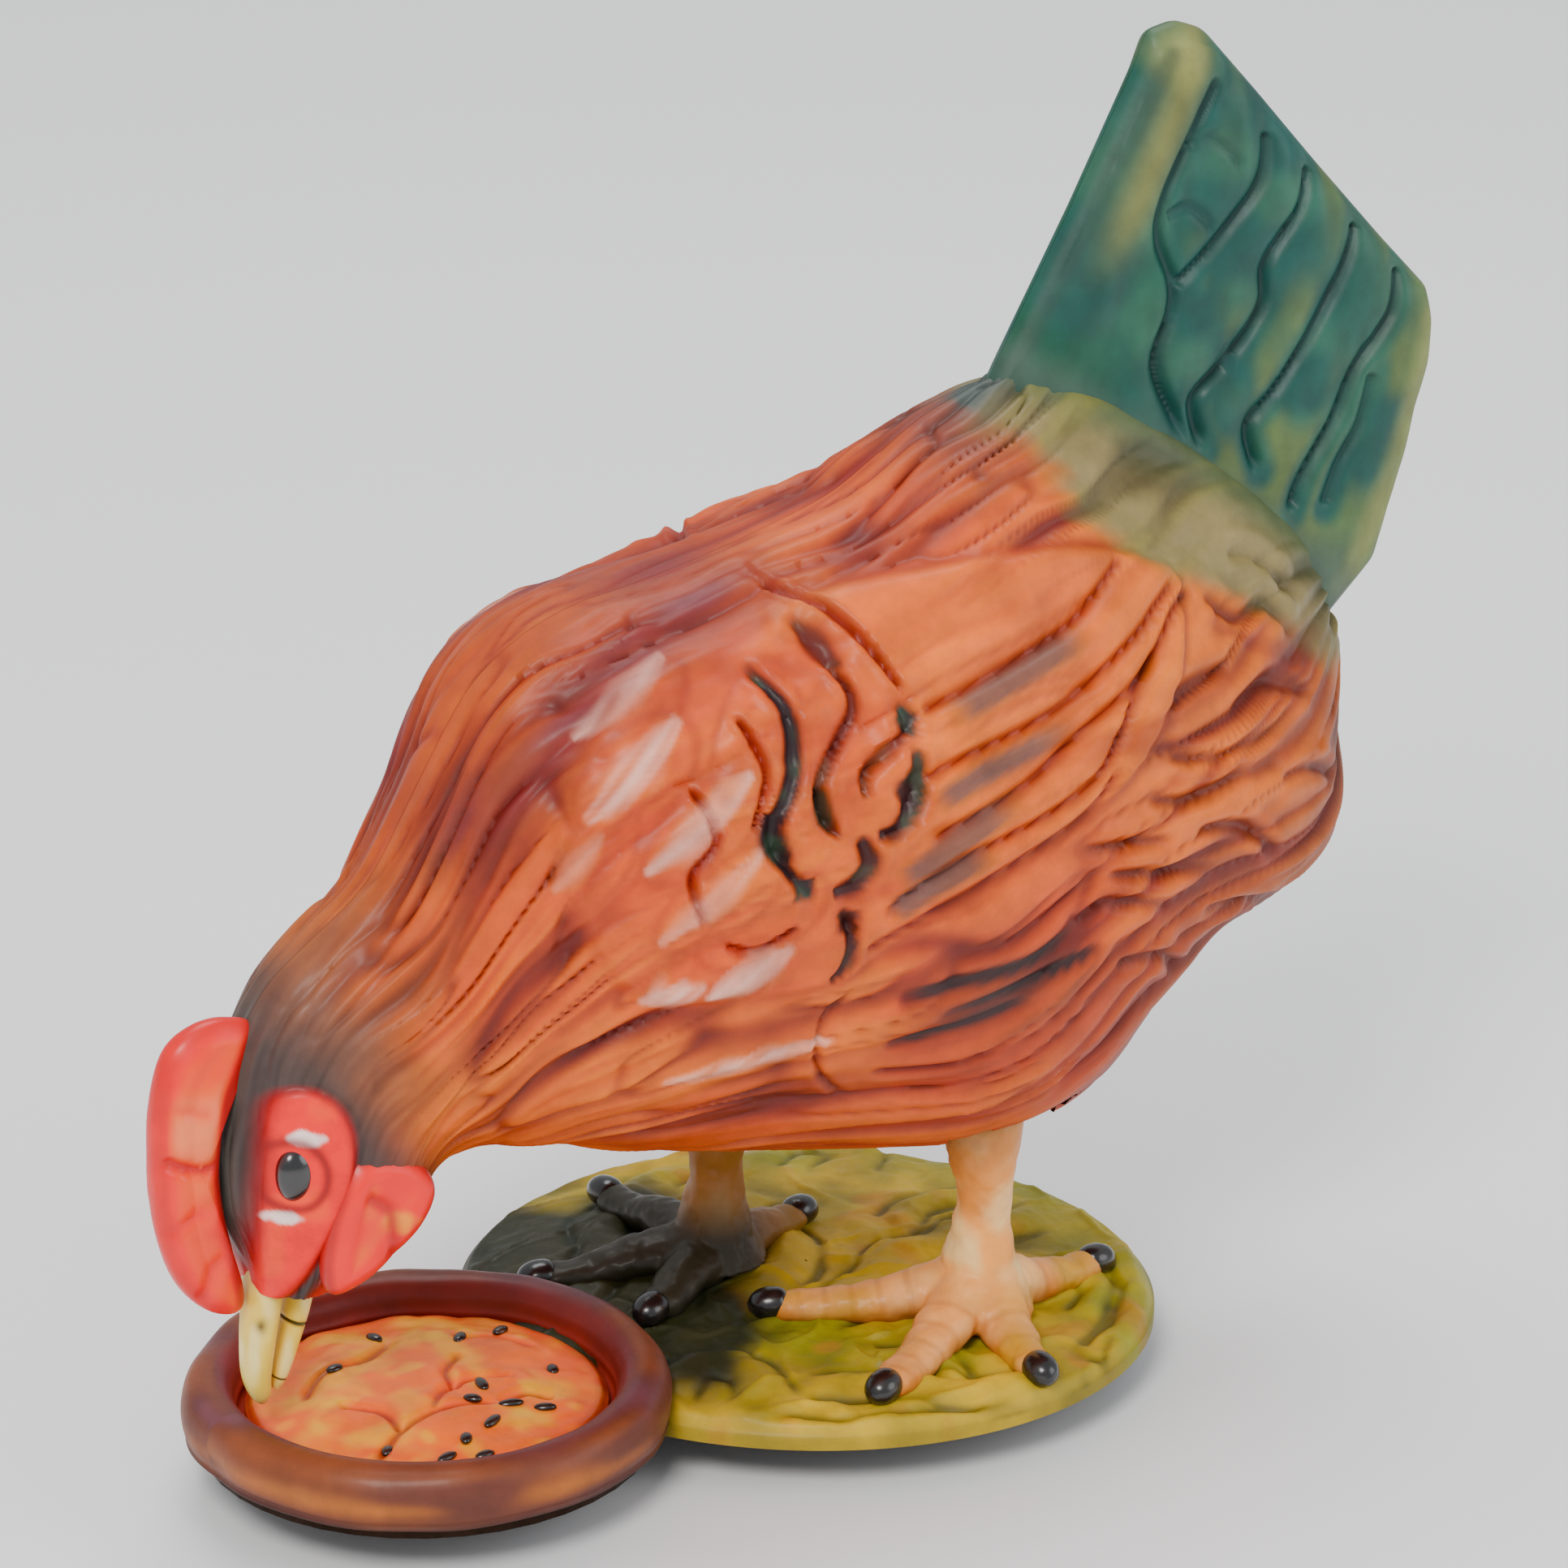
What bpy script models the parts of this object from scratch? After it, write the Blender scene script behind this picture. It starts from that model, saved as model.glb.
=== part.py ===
"""Wind-up pecking hen: two-piece pressed tin bird on fixed legs, round grassy base, feed bowl,
and a spring motor inside the body that rocks the bird about the hip axle.

Frame: metres, +Z up, ground at Z = 0, the bird faces -X, its left side is -Y.
Numbers below are millimetres and are turned into metres by MM.
"""

import math

import bmesh
import bpy
import numpy as np
from mathutils import Matrix, Vector

MM = 0.001
GAP = 0.3                       # air left between pieces that touch on the real toy
TIN = 0.6                       # sheet thickness

# Body stations from the tail root to the beak root. Each is the top point (x, z) and the bottom
# point (x, z) of a section in the middle plane, and the section's half width.
STATIONS = [
    ((22.0, 119.5), (70.0, 84.0), 8.0),
    ((17.0, 118.0), (71.0, 77.5), 13.0),
    ((11.5, 115.8), (70.5, 67.0), 18.5),
    ((6.0, 112.5), (68.5, 57.0), 23.5),
    ((-1.0, 108.5), (62.0, 50.5), 27.5),
    ((-10.0, 105.7), (49.5, 45.0), 30.0),
    ((-19.0, 103.5), (40.0, 37.0), 31.0),
    ((-28.0, 101.8), (30.5, 28.5), 31.0),
    ((-35.0, 100.7), (15.0, 25.5), 30.0),
    ((-42.0, 98.0), (-5.0, 28.5), 28.5),
    ((-48.0, 93.5), (-20.0, 31.5), 26.0),
    ((-52.0, 88.0), (-32.0, 34.5), 23.0),
    ((-56.5, 80.5), (-41.0, 37.0), 20.0),
    ((-62.0, 71.5), (-48.0, 38.0), 16.7),
    ((-68.5, 64.8), (-53.0, 38.0), 14.3),
    ((-74.0, 59.3), (-56.0, 36.0), 12.5),
    ((-77.5, 53.0), (-58.0, 32.0), 11.5),
    ((-79.0, 46.0), (-61.0, 29.0), 11.0),
    ((-79.5, 38.0), (-64.0, 27.0), 10.0),
    ((-79.0, 31.0), (-67.0, 25.0), 8.5),
    ((-78.0, 25.0), (-70.0, 24.0), 6.0),
]
SECTION_POWER = 0.85            # below 1 the section is fuller than an ellipse
SEAM = 0.25                     # half of the gap between the two body halves
ALONG, AROUND = 31, 11          # facets of one body half

# Motion. The bird rocks about the hip axle; the motor's crank pin runs in the slotted lever.
HIP = (2.2, 52.0)
PECK_SWING = math.radians(12.0)
LEVER_REACH = 16.0              # hip axle to slot centre
CRANK_THROW = LEVER_REACH * math.sin(PECK_SWING / 2)
CRANK = (HIP[0] + LEVER_REACH * math.cos(PECK_SWING / 2), HIP[1])

# Gear train: great wheel 50 drives crank pinion 10, crank wheel 40 drives fly pinion 10.
GREAT_MODULE, GREAT_TEETH, CRANK_PINION_TEETH = 0.6, 50, 10
FLY_MODULE, CRANK_WHEEL_TEETH, FLY_PINION_TEETH = 0.5, 40, 10
GREAT_DIRECTION, FLY_DIRECTION = math.radians(110.0), math.radians(10.0)
GREAT_DISTANCE = GREAT_MODULE * (GREAT_TEETH + CRANK_PINION_TEETH) / 2
FLY_DISTANCE = FLY_MODULE * (CRANK_WHEEL_TEETH + FLY_PINION_TEETH) / 2
GREAT = (CRANK[0] + GREAT_DISTANCE * math.cos(GREAT_DIRECTION),
         CRANK[1] + GREAT_DISTANCE * math.sin(GREAT_DIRECTION))
FLY = (CRANK[0] + FLY_DISTANCE * math.cos(FLY_DIRECTION),
       CRANK[1] + FLY_DISTANCE * math.sin(FLY_DIRECTION))
HIP_AXLE_R, GREAT_ARBOR_R, CRANK_ARBOR_R, FLY_ARBOR_R = 1.5, 1.5, 1.25, 0.8
RUN = 0.25                      # radial running clearance of a hole on its shaft

# Motor frame
PLATE_IN, PLATE_OUT = 8.0, 8.8
PILLARS = [(-7.0, 82.0), (27.5, 84.0), (36.0, 64.0), (-7.0, 58.0)]
PILLAR_R = 1.5
FRAME_OUTLINE = [(-10, 45), (34, 45), (40, 52), (40, 66), (31, 88), (-10, 87)]

# Base, bowl and feed
BASE_CENTRE = (1.2, 8.5)
BASE_RADIUS, BASE_STRETCH = 42.4, 1.6
BASE_RIM_Z = 2.7
BOWL_CENTRE = (-55.5, 0.5)
BOWL_RADIUS, BOWL_HEIGHT = 29.2, 8.8
PLATE_T = 1.0

# Legs: foot centre on the base, and the toe tips around it
LEG_Y = 13.3                    # middle of the flat leg strap inside the body
FOOT_LEFT = (13.4, -12.6)
TOES_LEFT = [(-10.4, 0.0), (-9.1, -26.3), (11.2, -32.6), (34.2, -8.4)]
FOOT_RIGHT = (-8.9, 13.8)
TOES_RIGHT = [(-31.5, 20.5), (-24.0, 4.0), (-12.0, 38.0), (8.0, 20.0)]
LEG_R, TOE_R = 4.1, 2.6

TAIL_OUTLINE = [(23.2, 120.6), (44.6, 156.6), (50.0, 155.6), (82.3, 121.0), (82.6, 113.0),
                (70.6, 85.1), (65.2, 88.6), (62.4, 84.7), (24.8, 112.4), (27.7, 116.3)]
TAIL_HALF = 4.6
COMB_OUTLINE = [(-74.5, 59.5), (-78.0, 60.3), (-82.5, 59.8), (-86.0, 57.0), (-88.3, 51.0),
                (-88.8, 47.6), (-89.8, 44.0), (-89.9, 36.0), (-88.4, 33.0), (-87.6, 29.0),
                (-84.8, 24.3), (-81.2, 22.4), (-79.6, 24.0), (-78.6, 31.0), (-77.5, 46.0),
                (-75.0, 54.0)]
WATTLE_OUTLINE = [(-69.0, 41.0), (-64.5, 41.2), (-60.5, 38.5), (-59.0, 34.5), (-61.0, 30.0),
                  (-66.0, 27.0), (-70.5, 28.0), (-71.5, 35.0)]
EYE = (-76.0, 42.0)
EYE_RADII = (2.3, 1.6, 3.5)

COLOURS = {
    "terracotta": ((0.62, 0.19, 0.08), 0.45, 0.0),
    "teal": ((0.07, 0.16, 0.14), 0.45, 0.0),
    "comb_red": ((0.75, 0.07, 0.06), 0.4, 0.0),
    "beak_cream": ((0.80, 0.65, 0.32), 0.5, 0.0),
    "eye_black": ((0.01, 0.01, 0.012), 0.15, 0.0),
    "moss": ((0.30, 0.26, 0.07), 0.6, 0.0),
    "leg_tan": ((0.58, 0.28, 0.13), 0.5, 0.0),
    "bowl_brown": ((0.16, 0.07, 0.06), 0.4, 0.0),
    "feed_orange": ((0.85, 0.33, 0.04), 0.5, 0.0),
    "steel": ((0.55, 0.56, 0.58), 0.3, 1.0),
    "blue_steel": ((0.18, 0.20, 0.26), 0.3, 1.0),
    "brass": ((0.75, 0.55, 0.22), 0.28, 1.0),
}


# ---------------------------------------------------------------- scene helpers

def clear_scene():
    for obj in list(bpy.data.objects):
        bpy.data.objects.remove(obj, do_unlink=True)


def new_collection(name):
    made = bpy.data.collections.new(name)
    bpy.context.scene.collection.children.link(made)
    return made


def make_material(name):
    colour, roughness, metallic = COLOURS[name]
    made = bpy.data.materials.new(name)
    made.use_nodes = True
    shader = made.node_tree.nodes["Principled BSDF"]
    shader.inputs["Base Color"].default_value = (*colour, 1.0)
    shader.inputs["Roughness"].default_value = roughness
    shader.inputs["Metallic"].default_value = metallic
    return made


def place(name, data, colour, world=None):
    """A named part in the model's collection, its origin where world puts it."""
    obj = bpy.data.objects.new(name, data)
    PARTS.objects.link(obj)
    if world is not None:
        obj.matrix_world = world
    obj.data.materials.append(MATERIALS[colour])
    return obj


def as_cutter(obj):
    PARTS.objects.unlink(obj)
    CUTTERS.objects.link(obj)
    obj.hide_render = True
    obj.display_type = "WIRE"
    return obj


def as_mesh(obj):
    """The curve as a mesh object of the same name, with its caps welded."""
    bpy.context.view_layer.update()
    graph = bpy.context.evaluated_depsgraph_get()
    mesh = bpy.data.meshes.new_from_object(obj.evaluated_get(graph))
    shape = bmesh.new()
    shape.from_mesh(mesh)
    bmesh.ops.remove_doubles(shape, verts=shape.verts, dist=0.00001)
    shape.to_mesh(mesh)
    shape.free()
    world = obj.matrix_world.copy()
    name = obj.name
    bpy.data.objects.remove(obj, do_unlink=True)
    made = bpy.data.objects.new(name, mesh)
    made.matrix_world = world
    PARTS.objects.link(made)
    return made


def boolean(obj, other, operation, solver="EXACT"):
    """Cut obj with other, or join other to it; other becomes a hidden cutter."""
    if other.name in PARTS.objects:
        as_cutter(other)
    step = obj.modifiers.new(operation.lower() + "_" + other.name, "BOOLEAN")
    step.operation = operation
    step.object = other
    step.solver = solver
    return obj


def smooth(obj, degrees=35):
    obj.data.shade_smooth()
    obj.data.set_sharp_from_angle(angle=math.radians(degrees))
    return obj


# ---------------------------------------------------------------- shape helpers

def circle(centre, radius, sides):
    return [(centre[0] + radius * math.cos(2 * math.pi * i / sides),
             centre[1] + radius * math.sin(2 * math.pi * i / sides)) for i in range(sides)]


def outline_curve(name, loops, thickness, colour, world, rounding=0.0):
    """A flat piece: the first loop is its outline and the others are holes."""
    data = bpy.data.curves.new(name, "CURVE")
    data.dimensions = "2D"
    data.fill_mode = "BOTH"
    data.extrude = (thickness / 2 - rounding) * MM
    data.bevel_depth = rounding * MM
    data.bevel_resolution = 1
    for loop in loops:
        spline = data.splines.new("POLY")
        spline.points.add(len(loop) - 1)
        for point, (x, y) in zip(spline.points, loop):
            point.co = (x * MM, y * MM, 0.0, 1.0)
        spline.use_cyclic_u = True
    return place(name, data, colour, world=world)


def upright(name, loops, y_low, y_high, colour, rounding=0.0):
    """A flat piece standing in an XZ plane between two Y values, its loops given in (x, z)."""
    middle = (y_low + y_high) / 2 * MM
    world = Matrix.Translation((0, middle, 0)) @ Matrix.Rotation(math.pi / 2, 4, "X")
    return outline_curve(name, loops, y_high - y_low, colour, world, rounding)


def level(name, loops, z_low, z_high, colour):
    """A flat piece lying between two Z values, its loops given in (x, y)."""
    world = Matrix.Translation((0, 0, (z_low + z_high) / 2 * MM))
    return outline_curve(name, loops, z_high - z_low, colour, world)


def cylinder(name, start, end, radius, colour, end_radius=None, sides=24):
    """A round bar or cone between two points (mm)."""
    a, b = Vector(start) * MM, Vector(end) * MM
    shape = bmesh.new()
    bmesh.ops.create_cone(shape, cap_ends=True, segments=sides, radius1=radius * MM,
                          radius2=(radius if end_radius is None else end_radius) * MM,
                          depth=(b - a).length)
    turn = (b - a).to_track_quat("Z", "Y").to_matrix().to_4x4()
    bmesh.ops.transform(shape, matrix=turn, verts=shape.verts)
    mesh = bpy.data.meshes.new(name)
    shape.to_mesh(mesh)
    shape.free()
    obj = place(name, mesh, colour, world=Matrix.Translation((a + b) / 2))
    return smooth(obj)


def cross_bar(name, centre, y_low, y_high, radius, colour, sides=24):
    return cylinder(name, (centre[0], y_low, centre[1]), (centre[0], y_high, centre[1]),
                    radius, colour, sides=sides)


def turned(name, profile, centre, colour, steps=40):
    """A profile of (radius, z) points spun about the vertical axis at centre."""
    mesh = bpy.data.meshes.new(name)
    points = [(r * MM, 0.0, z * MM) for r, z in profile]
    closed = profile[0][0] > 0
    edges = [(i, i + 1) for i in range(len(points) - 1)]
    if closed:
        edges.append((len(points) - 1, 0))
    mesh.from_pydata(points, edges, [])
    obj = place(name, mesh, colour, world=Matrix.Translation((centre[0] * MM, centre[1] * MM, 0)))
    screw = obj.modifiers.new("spin", "SCREW")
    screw.steps = steps
    screw.render_steps = steps
    screw.use_merge_vertices = True
    screw.merge_threshold = 0.00001
    return obj


def wire(name, points, radii, colour, resolution=2):
    """A round bar through points, its radius changing from point to point."""
    data = bpy.data.curves.new(name, "CURVE")
    data.dimensions = "3D"
    data.bevel_depth = MM
    data.bevel_resolution = resolution
    data.use_fill_caps = True
    spline = data.splines.new("POLY")
    spline.points.add(len(points) - 1)
    for knot, point, radius in zip(spline.points, points, radii):
        knot.co = (*(c * MM for c in point), 1.0)
        knot.radius = radius
    return as_mesh(place(name, data, colour))


def gear_outline(centre, module, teeth, turn):
    """Trapezoid teeth with a little backlash; turn is the angle of the first tooth's middle."""
    pitch, points = module * teeth / 2, []
    half_tip, half_root = 0.17 * 2 * math.pi / teeth, 0.31 * 2 * math.pi / teeth
    root, tip = pitch - 1.2 * module, pitch + 0.85 * module
    for k in range(teeth):
        angle = turn + 2 * math.pi * k / teeth
        for offset, radius in ((-half_root, root), (-half_tip, tip), (half_tip, tip),
                               (half_root, root)):
            points.append((centre[0] + radius * math.cos(angle + offset),
                           centre[1] + radius * math.sin(angle + offset)))
    return points


def gear(name, centre, module, teeth, turn, bore, y_low, y_high, colour):
    loops = [gear_outline(centre, module, teeth, turn), circle(centre, bore, 20)]
    return upright(name, loops, y_low, y_high, colour)


def towards(centre, angle, distance):
    return (centre[0] + distance * math.cos(angle), centre[1] + distance * math.sin(angle))


def bar_outline(start, end, half_width, sides=6):
    """A bar with round ends between two points."""
    angle = math.atan2(end[1] - start[1], end[0] - start[0])
    points = []
    for centre, first in ((start, angle + math.pi / 2), (end, angle - math.pi / 2)):
        for i in range(sides + 1):
            points.append(towards(centre, first + math.pi * i / sides, half_width))
    return points


# ---------------------------------------------------------------- body

def catmull_rom(rows, count):
    rows = np.array(rows, float)
    last = len(rows) - 1
    t = np.linspace(0, last, count)
    i = np.clip(t.astype(int), 0, last - 1)
    f = (t - i)[:, None]
    a, b, c, d = (rows[np.clip(i + k, 0, last)] for k in (-1, 0, 1, 2))
    return 0.5 * (2 * b + (c - a) * f + (2 * a - 5 * b + 4 * c - d) * f**2
                  + (3 * b - a - 3 * c + d) * f**3)


def body_rings(along, around, side, outset=0.0):
    """Rows of points over one half of the body; side is -1 left, +1 right. Millimetres."""
    rows = catmull_rom([(*top, *bottom, width) for top, bottom, width in STATIONS], along)
    turn = np.pi * np.linspace(0, 1, around)
    rings = []
    for top_x, top_z, low_x, low_z, width in rows:
        top, low = np.array((top_x, top_z)), np.array((low_x, low_z))
        reach = (top - low) / 2
        reach = reach * (1 + outset / np.linalg.norm(reach))
        spine = (top + low) / 2 + np.cos(turn)[:, None] * reach
        y = side * (width + outset) * np.sin(turn).clip(0) ** SECTION_POWER
        y[[0, -1]] = 0
        rings.append([(x, y_value, z) for (x, z), y_value in zip(spine, y)])
    return rings


def grid_mesh(name, rings, closed=False, flip=False, caps=False):
    """A mesh through rows of points (mm), as a loft between unlike sections."""
    shape = bmesh.new()
    rows = [[shape.verts.new(Vector(p) * MM) for p in ring] for ring in rings]
    across = len(rows[0])
    for upper, lower in zip(rows, rows[1:]):
        for j in range(across if closed else across - 1):
            k = (j + 1) % across
            face = (upper[j], lower[j], lower[k], upper[k])
            shape.faces.new(face[::-1] if flip else face)
    if caps:
        shape.faces.new(rows[0] if not flip else rows[0][::-1])
        shape.faces.new(rows[-1][::-1] if not flip else rows[-1])
    mesh = bpy.data.meshes.new(name)
    shape.to_mesh(mesh)
    shape.free()
    return mesh


def body_volume(outset):
    """The body's outer form as one closed cutter, a little larger than the shells."""
    rings = []
    halves = (body_rings(ALONG, AROUND, side, outset) for side in (1, -1))
    for right, left in zip(*halves):
        rings.append(right + left[-2:0:-1])
    mesh = grid_mesh("body_volume", rings, closed=True, caps=True)
    shape = bmesh.new()
    shape.from_mesh(mesh)
    bmesh.ops.recalc_face_normals(shape, faces=shape.faces)
    shape.to_mesh(mesh)
    shape.free()
    return as_cutter(place("body_volume", mesh, "steel"))


def leg_slot(side):
    """The slot in the belly that the leg passes through, long enough for the rocking."""
    foot = FOOT_LEFT if side < 0 else FOOT_RIGHT
    front, rear = foot[0] - LEG_R - 2.8, foot[0] + LEG_R + 7.0
    middle = side * LEG_Y
    half = LEG_R + 1.0
    loop = [(front, middle - half), (rear, middle - half), (rear, middle + half),
            (front, middle + half)]
    name = "leg_slot_left" if side < 0 else "leg_slot_right"
    return as_cutter(as_mesh(level(name, [loop], 18.0, 41.0, "steel")))


def body_shell(name, side):
    rings = body_rings(ALONG, AROUND, side)
    for ring in rings:
        for index in (0, -1):
            x, _, z = ring[index]
            ring[index] = (x, side * SEAM, z)
    obj = place(name, grid_mesh(name, rings, flip=side > 0), "terracotta")
    solid = obj.modifiers.new("sheet", "SOLIDIFY")
    solid.thickness = TIN * MM
    solid.offset = -1
    solid.use_even_offset = False
    boolean(obj, leg_slot(side), "DIFFERENCE")
    if side > 0:
        hole = cross_bar("key_hole", GREAT, 20.0, 40.0, 2.6, "steel", sides=20)
        boolean(obj, hole, "DIFFERENCE")
    return smooth(obj)


def tail_shell(name, side):
    """Half of the tail: a pressed tray with soft edges, open at the seam."""
    edge = np.array(TAIL_OUTLINE)
    centre = edge.mean(axis=0)
    spokes = centre - edge
    spokes = spokes / np.linalg.norm(spokes, axis=1)[:, None]
    levels = [(0.0, SEAM), (0.0, TAIL_HALF * 0.55), (1.6, TAIL_HALF * 0.93), (10.0, TAIL_HALF)]
    rings = [[(x, side * y, z) for x, z in edge + inward * spokes] for inward, y in levels]
    mesh = grid_mesh(name, rings, closed=True)
    shape = bmesh.new()
    shape.from_mesh(mesh)
    rim = [e for e in shape.edges if e.is_boundary
           and all(abs(abs(v.co.y) - TAIL_HALF * MM) < 1e-6 for v in e.verts)]
    bmesh.ops.triangle_fill(shape, edges=rim, use_beauty=True)
    bmesh.ops.recalc_face_normals(shape, faces=shape.faces)
    middle = [f for f in shape.faces if all(abs(abs(v.co.y) - TAIL_HALF * MM) < 1e-6
                                            for v in f.verts)]
    if middle[0].normal.y * side < 0:
        bmesh.ops.reverse_faces(shape, faces=shape.faces)
    shape.to_mesh(mesh)
    shape.free()
    obj = place(name, mesh, "teal")
    solid = obj.modifiers.new("sheet", "SOLIDIFY")
    solid.thickness = TIN * MM
    solid.offset = -1
    return smooth(obj)


def comb():
    obj = upright("comb", [COMB_OUTLINE], -3.6, 3.6, "comb_red", rounding=1.4)
    obj = as_mesh(obj)
    return boolean(obj, VOLUME, "DIFFERENCE")


def wattle(name, side):
    low, high = sorted((side * 7.0, side * 11.6))
    obj = as_mesh(upright(name, [WATTLE_OUTLINE], low, high, "comb_red", rounding=1.2))
    return boolean(obj, VOLUME, "DIFFERENCE")


def eye(name, side):
    mesh = bpy.data.meshes.new(name)
    shape = bmesh.new()
    bmesh.ops.create_uvsphere(shape, u_segments=16, v_segments=9, radius=MM)
    bmesh.ops.scale(shape, vec=EYE_RADII, verts=shape.verts)
    shape.to_mesh(mesh)
    shape.free()
    depth = eye_depth() + 0.2
    world = Matrix.Translation((EYE[0] * MM, side * depth * MM, EYE[1] * MM))
    obj = place(name, mesh, "eye_black", world=world)
    return smooth(boolean(obj, VOLUME, "DIFFERENCE"))


def eye_depth():
    """How far out the head's side is at the eye."""
    near = [p for ring in body_rings(121, 61, 1) for p in ring]
    return min(near, key=lambda p: math.hypot(p[0] - EYE[0], p[2] - EYE[1]))[1]


def beak(name, root, tip, radii, tip_radius):
    """One mandible: a flattened cone that starts inside the head."""
    obj = cylinder(name, (root[0], 0, root[1]), (tip[0], 0, tip[1]), radii[0], "beak_cream",
                   end_radius=tip_radius, sides=14)
    widen = Matrix.Diagonal((1, radii[1] / radii[0], 1, 1))
    obj.data.transform(widen)
    return obj


# ---------------------------------------------------------------- base

def base_radius(angle):
    return BASE_RADIUS + BASE_STRETCH * math.cos(2 * (angle + math.pi / 4))


def ground_height(x, y):
    """Top of the base at a point (mm): a low mound, a little higher at the back left."""
    dx, dy = x - BASE_CENTRE[0], y - BASE_CENTRE[1]
    q = min(1.0, math.hypot(dx, dy) / base_radius(math.atan2(dy, dx)))
    back = 1.8 * math.exp(-((dx + 12) ** 2 + (dy - 14) ** 2) / 260)
    return BASE_RIM_Z + 2.0 * (1 - q**4) + back


def ground_rings(inset, lift, floor, fractions, around=40):
    """Rings over the mound from the middle out, then the skirt down to floor."""
    angles = [2 * math.pi * k / around for k in range(around)]
    rings = []
    for q in fractions:
        ring = []
        for a in angles:
            r = q * (base_radius(a) - inset)
            x, y = BASE_CENTRE[0] + r * math.cos(a), BASE_CENTRE[1] + r * math.sin(a)
            ring.append((x, y, ground_height(x, y) + lift - (1.0 if q == 1 else 0.0)))
        rings.append(ring)
    rings.append([(x, y, floor) for x, y, _ in rings[-1]])
    return rings


def ground_mesh(name, lift, floor, bottom):
    """The mound's surface, with a pole in the middle, and a flat bottom where one is asked for."""
    rings = ground_rings(0.0, lift, floor, (0.12, 0.35, 0.58, 0.78, 0.92, 0.985, 1.0))
    mesh = grid_mesh(name, rings, closed=True)
    shape = bmesh.new()
    shape.from_mesh(mesh)
    shape.verts.ensure_lookup_table()
    around = len(rings[0])
    shape.faces.new([shape.verts[i] for i in range(around)])
    if bottom:
        count = len(shape.verts)
        shape.faces.new([shape.verts[count - around + i] for i in range(around)])
    bmesh.ops.recalc_face_normals(shape, faces=shape.faces)
    if not bottom:
        shape.faces.ensure_lookup_table()
        top = max(shape.faces, key=lambda f: len(f.verts))
        if top.normal.z < 0:
            bmesh.ops.reverse_faces(shape, faces=shape.faces)
    shape.to_mesh(mesh)
    shape.free()
    return mesh


def base_shell():
    obj = place("base_shell", ground_mesh("base_shell", 0.0, 0.0, False), "moss")
    solid = obj.modifiers.new("sheet", "SOLIDIFY")
    solid.thickness = TIN * MM
    solid.offset = -1
    bite = cylinder("bowl_bite", (*BOWL_CENTRE, -5), (*BOWL_CENTRE, 20), BOWL_RADIUS + 0.6,
                    "steel", sides=48)
    boolean(obj, bite, "DIFFERENCE")
    for label, foot in (("left", FOOT_LEFT), ("right", FOOT_RIGHT)):
        hole = cylinder("screw_hole_" + label, (*foot, 1.5), (*foot, 12), 1.5, "steel", sides=16)
        boolean(obj, hole, "DIFFERENCE")
    return smooth(obj)


def bottom_plate():
    """Closes the base from below and reaches under the bowl."""
    around = 48
    edge = []
    for k in range(around):
        a = 2 * math.pi * k / around
        r = base_radius(a) - TIN - 0.5
        edge.append((BASE_CENTRE[0] + r * math.cos(a), BASE_CENTRE[1] + r * math.sin(a)))
    holes = [circle(FOOT_LEFT, 3.2, 16), circle(FOOT_RIGHT, 3.2, 16)]
    obj = as_mesh(level("bottom_plate", [edge] + holes, 0.0, PLATE_T, "steel"))
    under = cylinder("under_bowl", (*BOWL_CENTRE, 0), (*BOWL_CENTRE, PLATE_T), 27.2, "steel",
                     sides=40)
    boolean(obj, under, "UNION")
    rivet_hole = cylinder("rivet_hole", (*BOWL_CENTRE, -2), (*BOWL_CENTRE, 3), 1.6, "steel",
                          sides=16)
    return boolean(obj, rivet_hole, "DIFFERENCE")


def bowl():
    """Turned bowl with a fat round rim; its floor is riveted to the bottom plate."""
    r, top = BOWL_RADIUS, BOWL_HEIGHT
    profile = [(1.6, 2.3), (21.0, 2.3), (22.4, 4.4), (23.0, 6.6), (24.2, top - 0.5), (26.0, top),
               (27.8, top - 0.6), (r - 0.2, top - 2.4), (r, 4.4), (r - 0.5, 2.6), (27.6, 1.35),
               (1.6, 1.35)]
    return smooth(turned("bowl", profile, BOWL_CENTRE, "bowl_brown"))


def feed():
    """The heap of feed as a pressed disc that drops into the bowl."""
    profile = [(0.0, 7.2), (9.0, 7.5), (16.0, 7.0), (20.5, 6.3), (21.9, 5.4), (21.4, 4.4),
               (0.0, 4.4)]
    return smooth(turned("feed", profile, BOWL_CENTRE, "feed_orange"))


def bowl_rivet():
    profile = [(0.0, 3.6), (1.8, 3.4), (2.6, 2.62), (1.25, 2.6), (1.25, 0.2), (0.0, 0.2)]
    return smooth(turned("bowl_rivet", profile, BOWL_CENTRE, "steel", steps=16))


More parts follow.
